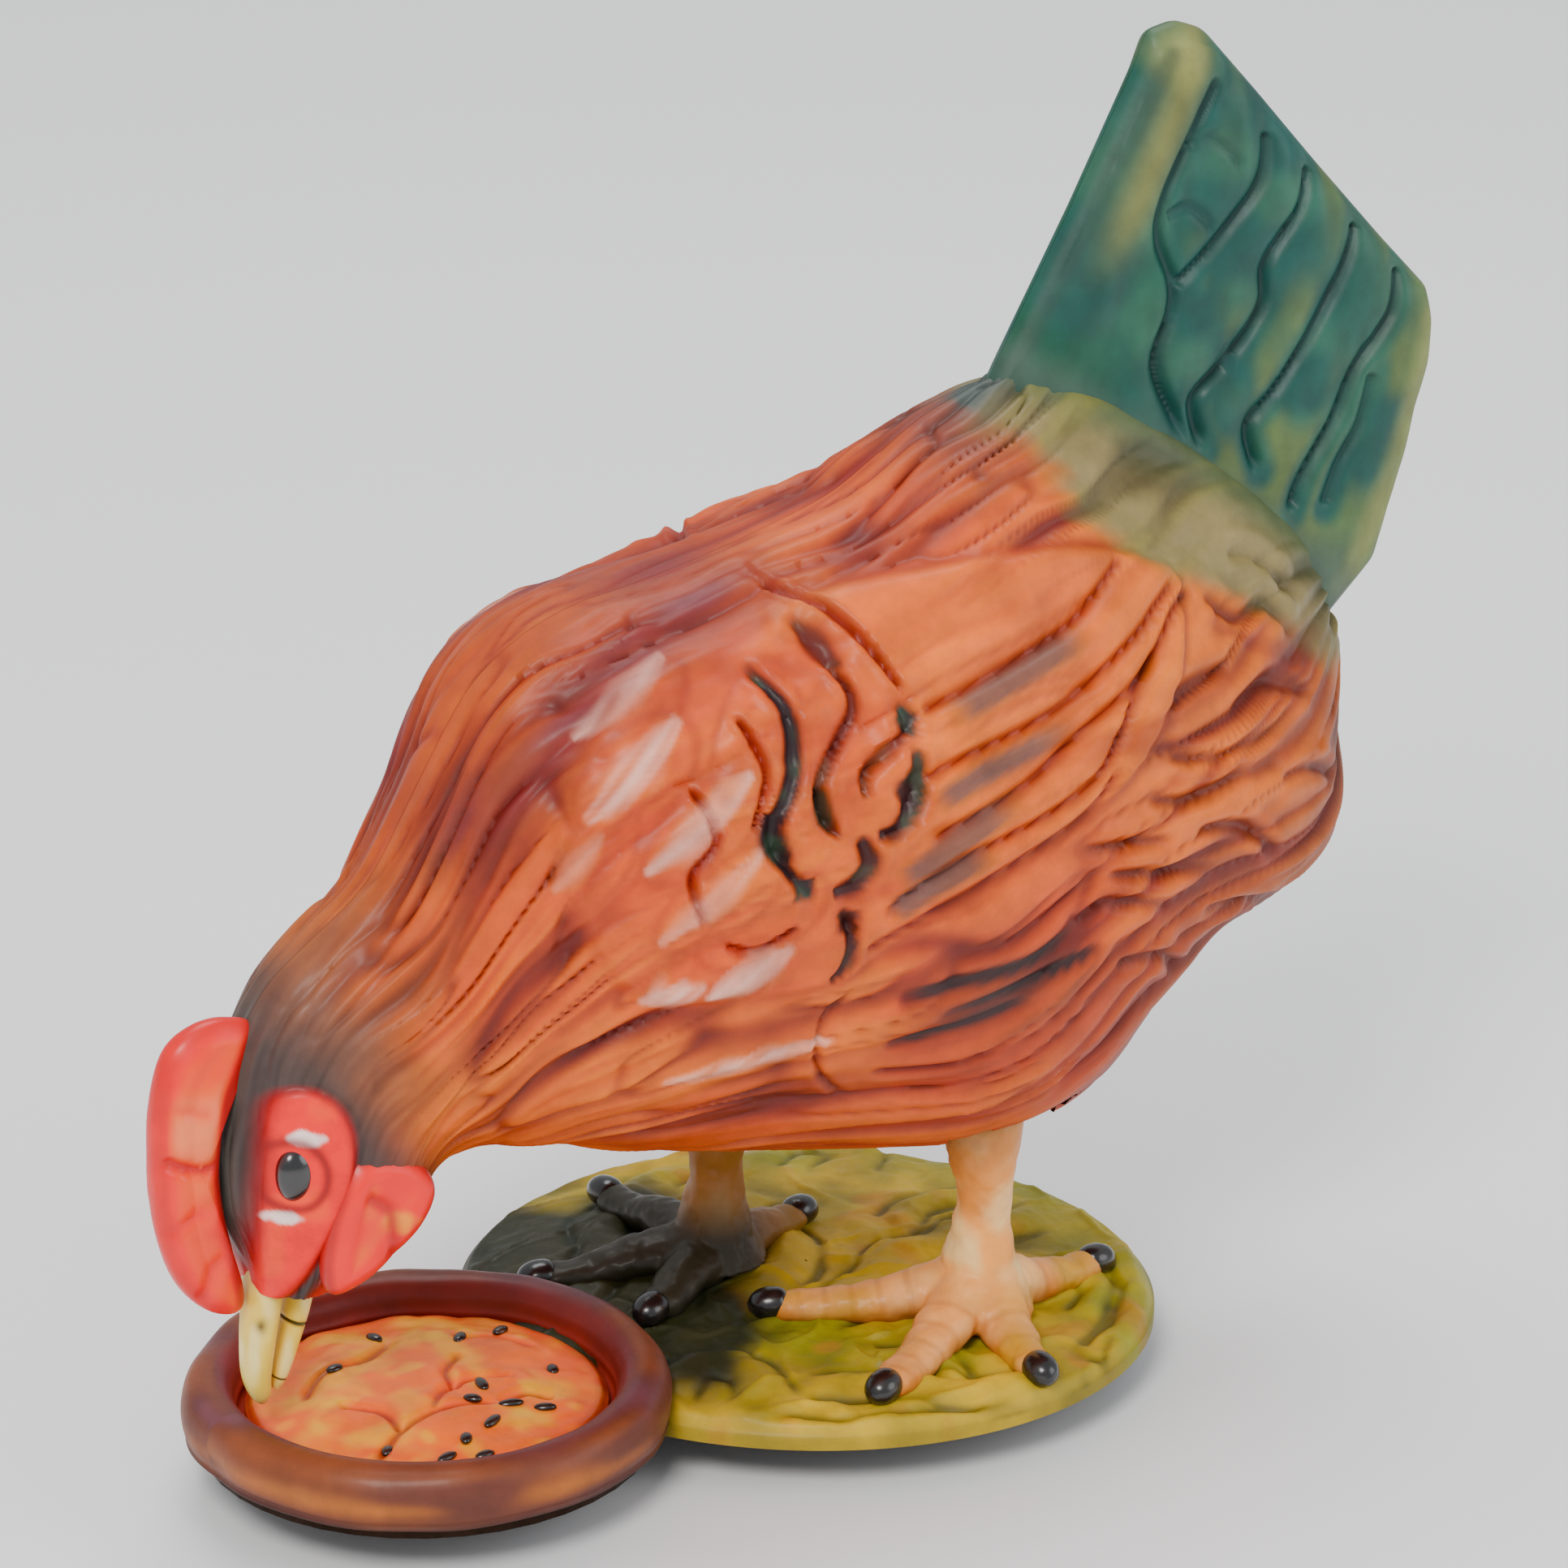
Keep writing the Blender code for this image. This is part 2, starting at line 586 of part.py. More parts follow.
def leg(name, side, foot, toes):
    """Shank, four toes and the flat strap that hangs the leg on the hip axle, in one piece."""
    strap_y = side * LEG_Y
    hub = (*foot, 5.0)
    shank = [hub, (foot[0], foot[1], 9.0), (foot[0], (foot[1] + strap_y) / 2, 14.0),
             (foot[0], strap_y, 20.0), (foot[0], strap_y, 29.0)]
    obj = wire(name, shank, [LEG_R, LEG_R + 0.6, LEG_R, LEG_R - 0.2, LEG_R - 0.6], "leg_tan")
    for index, toe in enumerate(toes):
        start = Vector((foot[0], foot[1], 9.0))
        end = Vector((toe[0], toe[1], ground_height(*toe) + 1.4))
        knee = start.lerp(end, 0.45)
        knee.z = ground_height(knee.x, knee.y) + 2.1
        route = [start, knee, end]
        part = wire("%s_toe_%d" % (name, index), route, [LEG_R - 0.4, TOE_R, TOE_R - 0.9],
                    "leg_tan")
        boolean(obj, part, "UNION", "MANIFOLD")
    strap = bar_outline(HIP, (foot[0], 26.0), 3.4)
    part = as_mesh(upright(name + "_strap", [strap], strap_y - 0.7, strap_y + 0.7, "leg_tan"))
    boolean(obj, part, "UNION", "MANIFOLD")
    boolean(obj, cross_bar(name + "_hole", HIP, strap_y - 4, strap_y + 4,
                           HIP_AXLE_R + GAP, "steel", sides=20), "DIFFERENCE", "MANIFOLD")
    boolean(obj, cylinder(name + "_tapping", (*foot, -1), (*foot, 9.0), 1.5, "steel", sides=16),
            "DIFFERENCE", "MANIFOLD")
    return smooth(boolean(obj, GROUND, "DIFFERENCE", "MANIFOLD"))


def leg_screw(name, foot):
    """Screw from below that holds a leg to the base."""
    seat = ground_height(*foot) - TIN - GAP
    profile = [(0.0, 8.6), (1.15, 8.4), (1.15, seat), (2.6, seat - 0.02), (2.6, seat - 1.4),
               (0.0, seat - 1.4)]
    return smooth(turned(name, profile, foot, "steel", steps=16))


# ---------------------------------------------------------------- motor

def hip_parts():
    cross_bar("hip_axle", HIP, -16.5, 16.5, HIP_AXLE_R, "steel")
    for label, side in (("left", -1), ("right", 1)):
        low, high = sorted((side * 14.4, side * 16.2))
        upright("hip_collar_" + label, [circle(HIP, 3.2, 20), circle(HIP, HIP_AXLE_R + GAP, 20)],
                low, high, "steel")
        low, high = sorted((side * 7.3, side * 9.2))
        upright("hip_bush_" + label, [circle(HIP, 2.9, 20), circle(HIP, HIP_AXLE_R + RUN, 20)],
                low, high, "brass")


def drive_lever():
    """Fixed on the hip axle; the crank pin runs in its slot and so rocks the body."""
    angle = -PECK_SWING / 2
    end = towards(HIP, angle, LEVER_REACH + 1.6)
    slot = bar_outline(towards(HIP, angle, LEVER_REACH - 0.7),
                       towards(HIP, angle, LEVER_REACH + 2.3), 1.3)
    loops = [bar_outline(HIP, end, 3.4), circle(HIP, HIP_AXLE_R + GAP, 20), slot]
    upright("drive_lever", loops, -12.0, -10.8, "steel")


def frame_plate(name, side):
    low, high = sorted((side * PLATE_IN, side * PLATE_OUT))
    holes = [circle(HIP, 2.9 + GAP, 20), circle(GREAT, GREAT_ARBOR_R + RUN, 16),
             circle(CRANK, CRANK_ARBOR_R + RUN, 16), circle(FLY, FLY_ARBOR_R + RUN, 12)]
    return upright(name, [FRAME_OUTLINE] + holes, low, high, "steel")


def frame_parts():
    frame_plate("frame_plate_left", -1)
    frame_plate("frame_plate_right", 1)
    for index, centre in enumerate(PILLARS):
        cross_bar("frame_pillar_%d" % (index + 1), centre, -PLATE_IN + GAP, PLATE_IN - GAP,
                  PILLAR_R, "steel", sides=12)
    ends = [(PILLARS[0], (-13.0, 100.2), "upper"), (PILLARS[3], (-8.0, 32.6), "lower")]
    for pillar, seam, label in ends:
        loops = [bar_outline(pillar, seam, 2.6), circle(pillar, PILLAR_R + GAP, 12)]
        upright("frame_bracket_" + label, loops, -0.5, 0.5, "steel")


def mainspring():
    """Flat spiral strip from the arbor out to the hook round the upper front pillar."""
    turns, start, pitch, thick, per_turn = 5.4, 2.7, 2.05, 0.5, 18
    count = int(turns * per_turn)
    first = math.radians(-20.0)
    inner, outer = [], []
    for k in range(count + 1):
        angle = first + 2 * math.pi * k / per_turn
        radius = start + pitch * k / per_turn
        inner.append(towards(GREAT, angle, radius))
        outer.append(towards(GREAT, angle, radius + thick))
    hook = (PILLARS[0][0] + 2.3, PILLARS[0][1] - 1.4)
    inner.append(hook)
    outer.append((hook[0] + 0.3, hook[1] + 0.5))
    return upright("mainspring", [inner + outer[::-1]], 3.2, 7.0, "blue_steel")


def great_wheel_parts():
    gear("great_wheel", GREAT, GREAT_MODULE, GREAT_TEETH, GREAT_DIRECTION + math.pi,
         GREAT_ARBOR_R + RUN, 0.2, 1.2, "brass")
    root, nose = towards(GREAT, math.radians(215), 12.0), towards(GREAT, math.radians(172), 6.4)
    upright("click", [bar_outline(root, nose, 0.55, sides=4)], 1.5, 2.5, "steel")


def ratchet_outline(centre, teeth, root, tip):
    points = []
    for k in range(teeth):
        angle = 2 * math.pi * k / teeth
        points.append(towards(centre, angle, tip))
        points.append(towards(centre, angle + 0.12, root))
        points.append(towards(centre, angle + math.pi / teeth, (root + tip) / 2))
    return points


def key_parts():
    cross_bar("key_arbor", GREAT, -9.6, 40.0, GREAT_ARBOR_R, "steel")
    upright("ratchet_wheel", [ratchet_outline(GREAT, 12, 4.4, 5.5),
                              circle(GREAT, GREAT_ARBOR_R + GAP, 16)], 1.5, 2.5, "steel")
    winding_key()


def winding_key():
    """Sleeve on the arbor with two flat wings, each with a small hole."""
    sleeve = cross_bar("winding_key", GREAT, 33.0, 41.6, 3.1, "brass", sides=20)
    wing = []
    for side in (1, -1):
        centre = (side * 8.2, 0.0)
        for i in range(13):
            angle = (-120 + 20 * i) if side > 0 else (60 + 20 * i)
            wing.append(towards(centre, math.radians(angle), 6.2))
    holes = [circle((8.2, 0.0), 1.9, 12), circle((-8.2, 0.0), 1.9, 12)]
    tilt = Matrix.Rotation(math.radians(35.0), 4, "Y")
    world = (Matrix.Translation((GREAT[0] * MM, 43.6 * MM, GREAT[1] * MM)) @ tilt)
    wings = as_mesh(outline_curve("key_wings", [wing] + holes, 1.8, "brass", world))
    boolean(sleeve, wings, "UNION", "MANIFOLD")
    bore = cross_bar("key_bore", GREAT, 30.0, 40.4, GREAT_ARBOR_R + GAP, "steel", sides=16)
    return smooth(boolean(sleeve, bore, "DIFFERENCE", "MANIFOLD"))


def crank_parts():
    cross_bar("crank_arbor", CRANK, -8.95, 9.4, CRANK_ARBOR_R, "steel")
    gear("crank_pinion", CRANK, GREAT_MODULE, CRANK_PINION_TEETH,
         GREAT_DIRECTION + math.pi / CRANK_PINION_TEETH, CRANK_ARBOR_R + 0.2, -0.1, 1.5, "steel")
    gear("crank_wheel", CRANK, FLY_MODULE, CRANK_WHEEL_TEETH, FLY_DIRECTION,
         CRANK_ARBOR_R + GAP, -2.4, -1.4, "brass")
    disc = cross_bar("crank_disc", CRANK, -10.3, -9.25, 3.6, "steel")
    pin = cross_bar("crank_pin", (CRANK[0], CRANK[1] - CRANK_THROW), -12.3, -9.8, 0.8, "steel",
                    sides=12)
    boolean(disc, pin, "UNION")


def fly_parts():
    cross_bar("fly_arbor", FLY, -9.3, 9.3, FLY_ARBOR_R, "steel", sides=16)
    gear("fly_pinion", FLY, FLY_MODULE, FLY_PINION_TEETH,
         FLY_DIRECTION + math.pi + math.pi / FLY_PINION_TEETH, FLY_ARBOR_R + 0.2, -2.9, -0.9,
         "steel")
    vane = [(-5.6, -0.5), (-1.7, -0.5), (-1.2, -1.9), (1.2, -1.9), (1.7, -0.5), (5.6, -0.5),
            (5.6, 0.5), (1.7, 0.5), (1.2, 1.9), (-1.2, 1.9), (-1.7, 0.5), (-5.6, 0.5)]
    outline = [(FLY[0] + x, FLY[1] + z) for x, z in vane]
    upright("fly", [outline, circle(FLY, FLY_ARBOR_R + GAP, 12)], -7.2, -3.4, "brass")


# ---------------------------------------------------------------- the toy

clear_scene()
PARTS = new_collection("pecking_hen")
CUTTERS = new_collection("cutters")
MATERIALS = {name: make_material(name) for name in COLOURS}
VOLUME = body_volume(GAP)
GROUND = as_cutter(place("ground_volume", ground_mesh("ground_volume", GAP, -3.0, True), "moss"))

base_shell()
bottom_plate()
bowl()
feed()
bowl_rivet()
leg("leg_left", -1, FOOT_LEFT, TOES_LEFT)
leg("leg_right", 1, FOOT_RIGHT, TOES_RIGHT)
leg_screw("leg_screw_left", FOOT_LEFT)
leg_screw("leg_screw_right", FOOT_RIGHT)
hip_parts()
drive_lever()

body_shell("body_shell_left", -1)
body_shell("body_shell_right", 1)
tail_shell("tail_shell_left", -1)
tail_shell("tail_shell_right", 1)
comb()
wattle("wattle_left", -1)
wattle("wattle_right", 1)
eye("eye_left", -1)
eye("eye_right", 1)
beak("upper_beak", (-75.4, 27.5), (-77.3, 9.2), (1.7, 3.6), 0.5)
beak("lower_beak", (-71.9, 27.0), (-75.3, 10.4), (1.2, 3.2), 0.45)

frame_parts()
mainspring()
great_wheel_parts()
key_parts()
crank_parts()
fly_parts()
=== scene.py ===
"""The pecking hen's looks: embossed and painted body, tail, comb, legs, mossy base, bowl and feed, around the
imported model. Lengths are millimetres; MM turns them into metres. The studio alone is in metres."""

import math
from types import SimpleNamespace

import bmesh
import bpy
import numpy as np
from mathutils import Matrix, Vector


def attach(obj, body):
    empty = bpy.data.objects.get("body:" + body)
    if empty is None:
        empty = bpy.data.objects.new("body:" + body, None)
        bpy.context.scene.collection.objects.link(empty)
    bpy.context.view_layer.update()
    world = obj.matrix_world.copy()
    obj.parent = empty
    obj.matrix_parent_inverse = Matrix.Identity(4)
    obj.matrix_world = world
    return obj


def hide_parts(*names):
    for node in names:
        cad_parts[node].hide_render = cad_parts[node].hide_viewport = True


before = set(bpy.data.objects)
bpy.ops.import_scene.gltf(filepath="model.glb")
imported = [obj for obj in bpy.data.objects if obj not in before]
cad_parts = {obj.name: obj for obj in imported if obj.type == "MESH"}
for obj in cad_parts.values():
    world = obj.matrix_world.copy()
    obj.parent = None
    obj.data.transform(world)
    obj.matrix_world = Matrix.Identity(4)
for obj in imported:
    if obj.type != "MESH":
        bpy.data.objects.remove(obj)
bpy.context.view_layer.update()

MM = 0.001

# The body's sections, as in the model: top (x, z), bottom (x, z) and half width, tail to beak.
STATIONS = [
    (22.0, 119.5, 70.0, 84.0, 8.0), (17.0, 118.0, 71.0, 77.5, 13.0),
    (11.5, 115.8, 70.5, 67.0, 18.5), (6.0, 112.5, 68.5, 57.0, 23.5),
    (-1.0, 108.5, 62.0, 50.5, 27.5), (-10.0, 105.7, 49.5, 45.0, 30.0),
    (-19.0, 103.5, 40.0, 37.0, 31.0), (-28.0, 101.8, 30.5, 28.5, 31.0),
    (-35.0, 100.7, 15.0, 25.5, 30.0), (-42.0, 98.0, -5.0, 28.5, 28.5),
    (-48.0, 93.5, -20.0, 31.5, 26.0), (-52.0, 88.0, -32.0, 34.5, 23.0),
    (-56.5, 80.5, -41.0, 37.0, 20.0), (-62.0, 71.5, -48.0, 38.0, 16.7),
    (-68.5, 64.8, -53.0, 38.0, 14.3), (-74.0, 59.3, -56.0, 36.0, 12.5),
    (-77.5, 53.0, -58.0, 32.0, 11.5), (-79.0, 46.0, -61.0, 29.0, 11.0),
    (-79.5, 38.0, -64.0, 27.0, 10.0), (-79.0, 31.0, -67.0, 25.0, 8.5),
    (-78.0, 25.0, -70.0, 24.0, 6.0),
]
SECTION_POWER = 0.85            # below 1, the sections are boxier than ellipses
SEAM = 0.03                     # each half stops this far from the middle plane
INSIDE_DEPTH = 2.8              # the plain inside lies below the deepest groove
ALONG, AROUND = ((460, 196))
INNER_ALONG, INNER_AROUND = 100, 50
RUMP_SWELL, CROWN_SWELL = 5.5, 2.3
RICHNESS = 1.42                 # how much stronger than listed the enamels are laid on

FOOT = {"left": (13.4, -12.6), "right": (-8.9, 13.8)}
STRAP_Y = {"left": -13.3, "right": 13.3}
TOES = {"left": [(-10.4, 0.0), (-9.1, -26.3), (10.9, -31.8), (34.2, -8.4)],
        "right": [(-31.5, 20.5), (-24.0, 4.0), (-12.0, 38.0), (8.0, 20.0)]}
HIP = (2.2, 52.0)
LEG_RADIUS, SLOT_TOP = 4.1, 41.0
KEY_AXIS, KEY_HOLE = (11.96, 68.91), 2.6
BASE_CENTRE, BASE_RADIUS, BASE_STRETCH, BASE_RIM_Z = (1.2, 8.5), 42.4, 1.6, 2.7
BASE_CLEARANCE = 0.6            # the moss stops this far inside the modelled rim
BOWL_CENTRE = (-55.5, 0.5)
FEED_RADIUS = 21.6


# ---------------------------------------------------------------- numbers and noise

def srgb(r, g, b):
    """A colour given in 0 to 255, as a linear array."""
    c = np.array((r, g, b)) / 255.0
    return np.where(c < 0.04045, c / 12.92, ((c + 0.055) / 1.055) ** 2.4)


def step(low, high, value):
    """0 at low, 1 at high, and smooth between them."""
    t = np.clip((value - low) / (high - low), 0, 1)
    return t * t * (3 - 2 * t)


def bell(distance, width):
    return np.exp(-(distance / width) ** 2)


def hump(x, z, place, size):
    """1 at a place, falling to nothing over its sizes along x and z."""
    return np.exp(-((x - place[0]) / size[0]) ** 2 - ((z - place[1]) / size[1]) ** 2)


def columns(*parts):
    return np.stack(parts, axis=-1)


def mix(a, b, t):
    return a + (b - a) * np.asarray(t)[..., None]


def coats(base, *layers):
    """Lays each (colour, amount) over the base colour, in turn."""
    for colour, amount in layers:
        base = mix(base, srgb(*colour), amount)
    return base


def noise(points, size, seed=0):
    """Smooth value noise in -1..1; size is the size of its features, one number or one per axis."""
    p = points / np.asarray(size, float) + seed * 7.13
    i = np.floor(p).astype(np.int64)
    f = p - i
    f = f * f * (3 - 2 * f)

    def corner(dx, dy, dz):
        n = (i[..., 0] + dx) * 73856093 ^ (i[..., 1] + dy) * 19349663 ^ (i[..., 2] + dz) * 83492791
        n = (n + seed * 9176) & 0x7fffffff
        n = (n ^ (n >> 13)) * 1274126177 & 0x7fffffff
        n = n ^ (n >> 15)
        return (n & 0xffff) / 32767.5 - 1

    total = 0.0
    for dx in (0, 1):
        for dy in (0, 1):
            for dz in (0, 1):
                weight = ((f[..., 0] if dx else 1 - f[..., 0]) * (f[..., 1] if dy else 1 - f[..., 1])
                          * (f[..., 2] if dz else 1 - f[..., 2]))
                total = total + weight * corner(dx, dy, dz)
    return total


def catmull_rom(rows, count):
    """Count rows on a smooth curve through the given ones."""
    rows = np.array(rows, float)
    last = len(rows) - 1
    t = np.linspace(0, last, count)
    i = np.clip(t.astype(int), 0, last - 1)
    f = (t - i)[:, None]
    a, b, c, d = (rows[np.clip(i + k, 0, last)] for k in (-1, 0, 1, 2))
    return 0.5 * (2 * b + (c - a) * f + (2 * a - 5 * b + 4 * c - d) * f**2
                  + (3 * b - a - 3 * c + d) * f**3)


def line_distance(x, z, points, samples=24):
    """Distance from (x, z) to a smooth line, and how far along it, 0 to 1."""
    line = catmull_rom(points, samples) if len(points) > 2 else np.array(points, float)
    best, along = np.full(x.shape, 1e9), np.zeros(x.shape)
    total = len(line) - 1
    for k in range(total):
        a, b = line[k], line[k + 1]
        d = b - a
        t = np.clip(((x - a[0]) * d[0] + (z - a[1]) * d[1]) / max(d @ d, 1e-9), 0, 1)
        r = np.hypot(x - a[0] - t * d[0], z - a[1] - t * d[1])
        nearer = r < best
        best = np.where(nearer, r, best)
        along = np.where(nearer, (k + t) / total, along)
    return best, along


def stroke(x, z, line, start, end, samples=24):
    """Distance to a line, and its strength: it fades in up to start and out from end, as shares of it."""
    d, t = line_distance(x, z, line, samples)
    return d, step(0.0, start, t) * step(1.0, end, t)


def outline_distance(x, z, outline):
    """Signed distance to a closed outline, negative inside."""
    points = np.array(outline, float)
    best, inside = np.full(x.shape, 1e9), np.zeros(x.shape, bool)
    for k in range(len(points)):
        a, b = points[k], points[(k + 1) % len(points)]
        d = b - a
        t = np.clip(((x - a[0]) * d[0] + (z - a[1]) * d[1]) / max(d @ d, 1e-9), 0, 1)
        best = np.minimum(best, np.hypot(x - a[0] - t * d[0], z - a[1] - t * d[1]))
        crosses = (a[1] > z) != (b[1] > z)
        rise = d[1] if abs(d[1]) > 1e-9 else 1e-9
        inside ^= crosses & (x < a[0] + (z - a[1]) * d[0] / rise)
    return np.where(inside, -best, best)


def closed_curve(points, count):
    """A smooth closed outline through points, in equal steps."""
    ring = list(points)
    rows = np.array(ring[-2:] + ring + ring[:3], float)
    fine = catmull_rom(rows, len(rows) * 12)
    first, last = 2 / (len(rows) - 1), (2 + len(ring)) / (len(rows) - 1)
    n = len(fine)
    fine = fine[int(round(first * (n - 1))):int(round(last * (n - 1))) + 1]
    run = np.concatenate([[0], np.cumsum(np.linalg.norm(np.diff(fine, axis=0), axis=1))])
    at = np.linspace(0, run[-1], count, endpoint=False)
    return np.stack([np.interp(at, run, fine[:, k]) for k in range(fine.shape[1])], axis=1)


# ---------------------------------------------------------------- meshes and pieces

def side_label(side):
    return "left" if side < 0 else "right"


def grid_faces(rows, across, closed=False, flip=False):
    a = np.arange(rows - 1)[:, None] * across
    j = np.arange(across if closed else across - 1)[None, :]
    k = (j + 1) % across
    quads = columns(a + j, a + across + j, a + across + k, a + k).reshape(-1, 4)
    return quads[:, ::-1] if flip else quads


def make_mesh(name, points_mm, faces, colour=None):
    mesh = bpy.data.meshes.new(name)
    mesh.from_pydata((np.asarray(points_mm) * MM).tolist(), [], [tuple(map(int, f)) for f in faces])
    if colour is not None:
        paint(mesh, colour)
    mesh.validate()
    return mesh


def paint(mesh, colour):
    """Stores a linear colour at each vertex as the attribute 'paint'."""
    layer = mesh.color_attributes.new("paint", "FLOAT_COLOR", "POINT")
    values = np.ones((len(mesh.vertices), 4), np.float32)
    colour = np.asarray(colour)
    grey = (colour @ (0.3, 0.6, 0.1))[:, None]
    values[:, :3] = np.clip(grey + (colour - grey) * RICHNESS, 0.004, 1)
    layer.data.foreach_set("color", values.ravel())


def coordinates(mesh):
    values = np.empty(len(mesh.vertices) * 3)
    mesh.vertices.foreach_get("co", values)
    return values.reshape(-1, 3) / MM


def piece(name, mesh, material, body, stands_for=(), angle=40):
    """A visible piece that rides on a body, and the CAD nodes it stands for."""
    obj = bpy.data.objects.new(name, mesh)
    bpy.context.scene.collection.objects.link(obj)
    mesh.materials.append(material)
    mesh.shade_smooth()
    if angle:
        mesh.set_sharp_from_angle(angle=math.radians(angle))
    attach(obj, body)
    if stands_for:
        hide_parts(*stands_for)
    return obj


def closed_piece(name, points, faces, colour, material, body, stands_for=(), angle=0):
    """A visible piece from points and faces, its faces turned outward."""
    mesh = make_mesh(name, points, faces, colour)
    face_outward(mesh)
    return piece(name, mesh, material, body, stands_for, angle)


def merged(parts):
    """Several (points, faces) as one."""
    points, faces, first = [], [], 0
    for more_points, more_faces in parts:
        points.append(more_points)
        faces += [tuple(first + i for i in face) for face in more_faces]
        first += len(more_points)
    return np.concatenate(points), faces


def apply_modifiers(obj):
    bpy.context.view_layer.update()
    graph = bpy.context.evaluated_depsgraph_get()
    mesh = bpy.data.meshes.new_from_object(obj.evaluated_get(graph), preserve_all_data_layers=True,
                                           depsgraph=graph)
    obj.modifiers.clear()
    obj.data = mesh


# ---------------------------------------------------------------- materials

def new_material(name):
    material = bpy.data.materials.new(name)
    material.use_nodes = True
    nodes, links = material.node_tree.nodes, material.node_tree.links
    return material, nodes, links, nodes["Principled BSDF"]


def node(nodes, kind, **values):
    made = nodes.new(kind)
    for key, value in values.items():
        if key in made.inputs:
            made.inputs[key].default_value = value
        else:
            setattr(made, key, value)
    return made


def remap(nodes, links, source, to, between=(0.0, 1.0)):
    """Stretches a value from the span between to the span to."""
    made = node(nodes, "ShaderNodeMapRange")
    for end, value in zip(("From Min", "From Max", "To Min", "To Max"), (*between, *to)):
        made.inputs[end].default_value = value
    links.new(source, made.inputs["Value"])
    return made.outputs["Result"]


def paint_material(name, roughness=0.5, coat=0.08, specular=0.35, bump=0.25, depth_mm=0.12, vary=0.22):
    """Hand-laid enamel: the painted colour, uneven in tone, with brush grain and a thin varnish."""
    material, nodes, links, shader = new_material(name)
    colour = node(nodes, "ShaderNodeVertexColor", layer_name="paint")
    place = node(nodes, "ShaderNodeTexCoord")
    fine = node(nodes, "ShaderNodeTexNoise", Scale=900.0, Detail=5.0, Roughness=0.6)
    broad = node(nodes, "ShaderNodeTexNoise", Scale=140.0, Detail=6.0, Roughness=0.65)
    links.new(place.outputs["Object"], fine.inputs["Vector"])
    links.new(place.outputs["Object"], broad.inputs["Vector"])
    tone = remap(nodes, links, broad.outputs["Fac"], (1.0 - vary, 1.0 + vary), (0.3, 0.7))
    shade = node(nodes, "ShaderNodeVectorMath", operation="SCALE")
    links.new(colour.outputs["Color"], shade.inputs[0])
    links.new(tone, shade.inputs["Scale"])
    links.new(shade.outputs["Vector"], shader.inputs["Base Color"])
    gloss = remap(nodes, links, fine.outputs["Fac"], (roughness - 0.1, roughness + 0.12))
    links.new(gloss, shader.inputs["Roughness"])
    both = node(nodes, "ShaderNodeMath", operation="ADD")
    links.new(fine.outputs["Fac"], both.inputs[0])
    links.new(broad.outputs["Fac"], both.inputs[1])
    relief = node(nodes, "ShaderNodeBump", Strength=bump, Distance=depth_mm * MM)
    links.new(both.outputs["Value"], relief.inputs["Height"])
    links.new(relief.outputs["Normal"], shader.inputs["Normal"])
    shader.inputs["Specular IOR Level"].default_value = specular
    shader.inputs["Coat Weight"].default_value = coat
    shader.inputs["Coat Roughness"].default_value = 0.18
    return material


def metal_material(name, colour, roughness):
    """Stamped metal with fine rolling lines and faint tarnish."""
    material, nodes, links, shader = new_material(name)
    place = node(nodes, "ShaderNodeTexCoord")
    turn = node(nodes, "ShaderNodeMapping")
    turn.inputs["Scale"].default_value = (40.0, 1.0, 40.0)
    lines = node(nodes, "ShaderNodeTexNoise", Scale=60.0, Detail=4.0, Roughness=0.6)
    links.new(place.outputs["Object"], turn.inputs["Vector"])
    links.new(turn.outputs["Vector"], lines.inputs["Vector"])
    spots = node(nodes, "ShaderNodeTexNoise", Scale=220.0, Detail=5.0, Roughness=0.7)
    links.new(place.outputs["Object"], spots.inputs["Vector"])
    ramp = node(nodes, "ShaderNodeValToRGB")
    ramp.color_ramp.elements[0].position = 0.32
    ramp.color_ramp.elements[0].color = (*[c * 0.62 for c in colour], 1)
    ramp.color_ramp.elements[1].position = 0.6
    ramp.color_ramp.elements[1].color = (*colour, 1)
    links.new(spots.outputs["Fac"], ramp.inputs["Fac"])
    links.new(ramp.outputs["Color"], shader.inputs["Base Color"])
    gloss = remap(nodes, links, lines.outputs["Fac"], (roughness - 0.08, roughness + 0.14))
    links.new(gloss, shader.inputs["Roughness"])
    relief = node(nodes, "ShaderNodeBump", Strength=0.08, Distance=0.05 * MM)
    links.new(lines.outputs["Fac"], relief.inputs["Height"])
    links.new(relief.outputs["Normal"], shader.inputs["Normal"])
    shader.inputs["Metallic"].default_value = 1.0
    return material


# ---------------------------------------------------------------- body relief and paint

# Lines pressed or painted on the sides of the body, each as (x, z) points.
WING_TOP = [(-47, 76), (-46, 84), (-40, 93), (-27, 99), (-11, 102.5), (4, 104), (19, 104), (33, 100)]
WING_LOW = [(37, 96), (33, 88), (26, 80), (15, 74), (2, 69), (-8, 65), (-16, 61), (-28, 60),
            (-39, 61), (-44, 67)]
PRIMARIES = [
    [(-5, 90), (7, 93), (18, 96), (24, 99), (28, 101)],
    [(-6, 83), (1, 85), (14, 88), (27, 93), (31, 95), (36, 97)],
    [(-6, 76), (7, 80), (17, 85), (27, 89), (34, 94), (39, 95)],
    [(-12, 68), (-2, 73), (9, 76), (19, 80), (25, 87), (30, 91)],
    [(-14, 64), (-6, 67), (2, 70), (15, 75), (22, 80)],
]
STREAKS = [  # long dark strokes on the primaries: ends, width
    ([(-2, 89), (9, 92), (21, 95)], 1.5), ([(-5, 80), (3, 83), (16, 86)], 1.5),
    ([(-10, 72), (-3, 75), (8, 80)], 1.6), ([(-11, 68), (-5, 71), (4, 74)], 1.5),
]
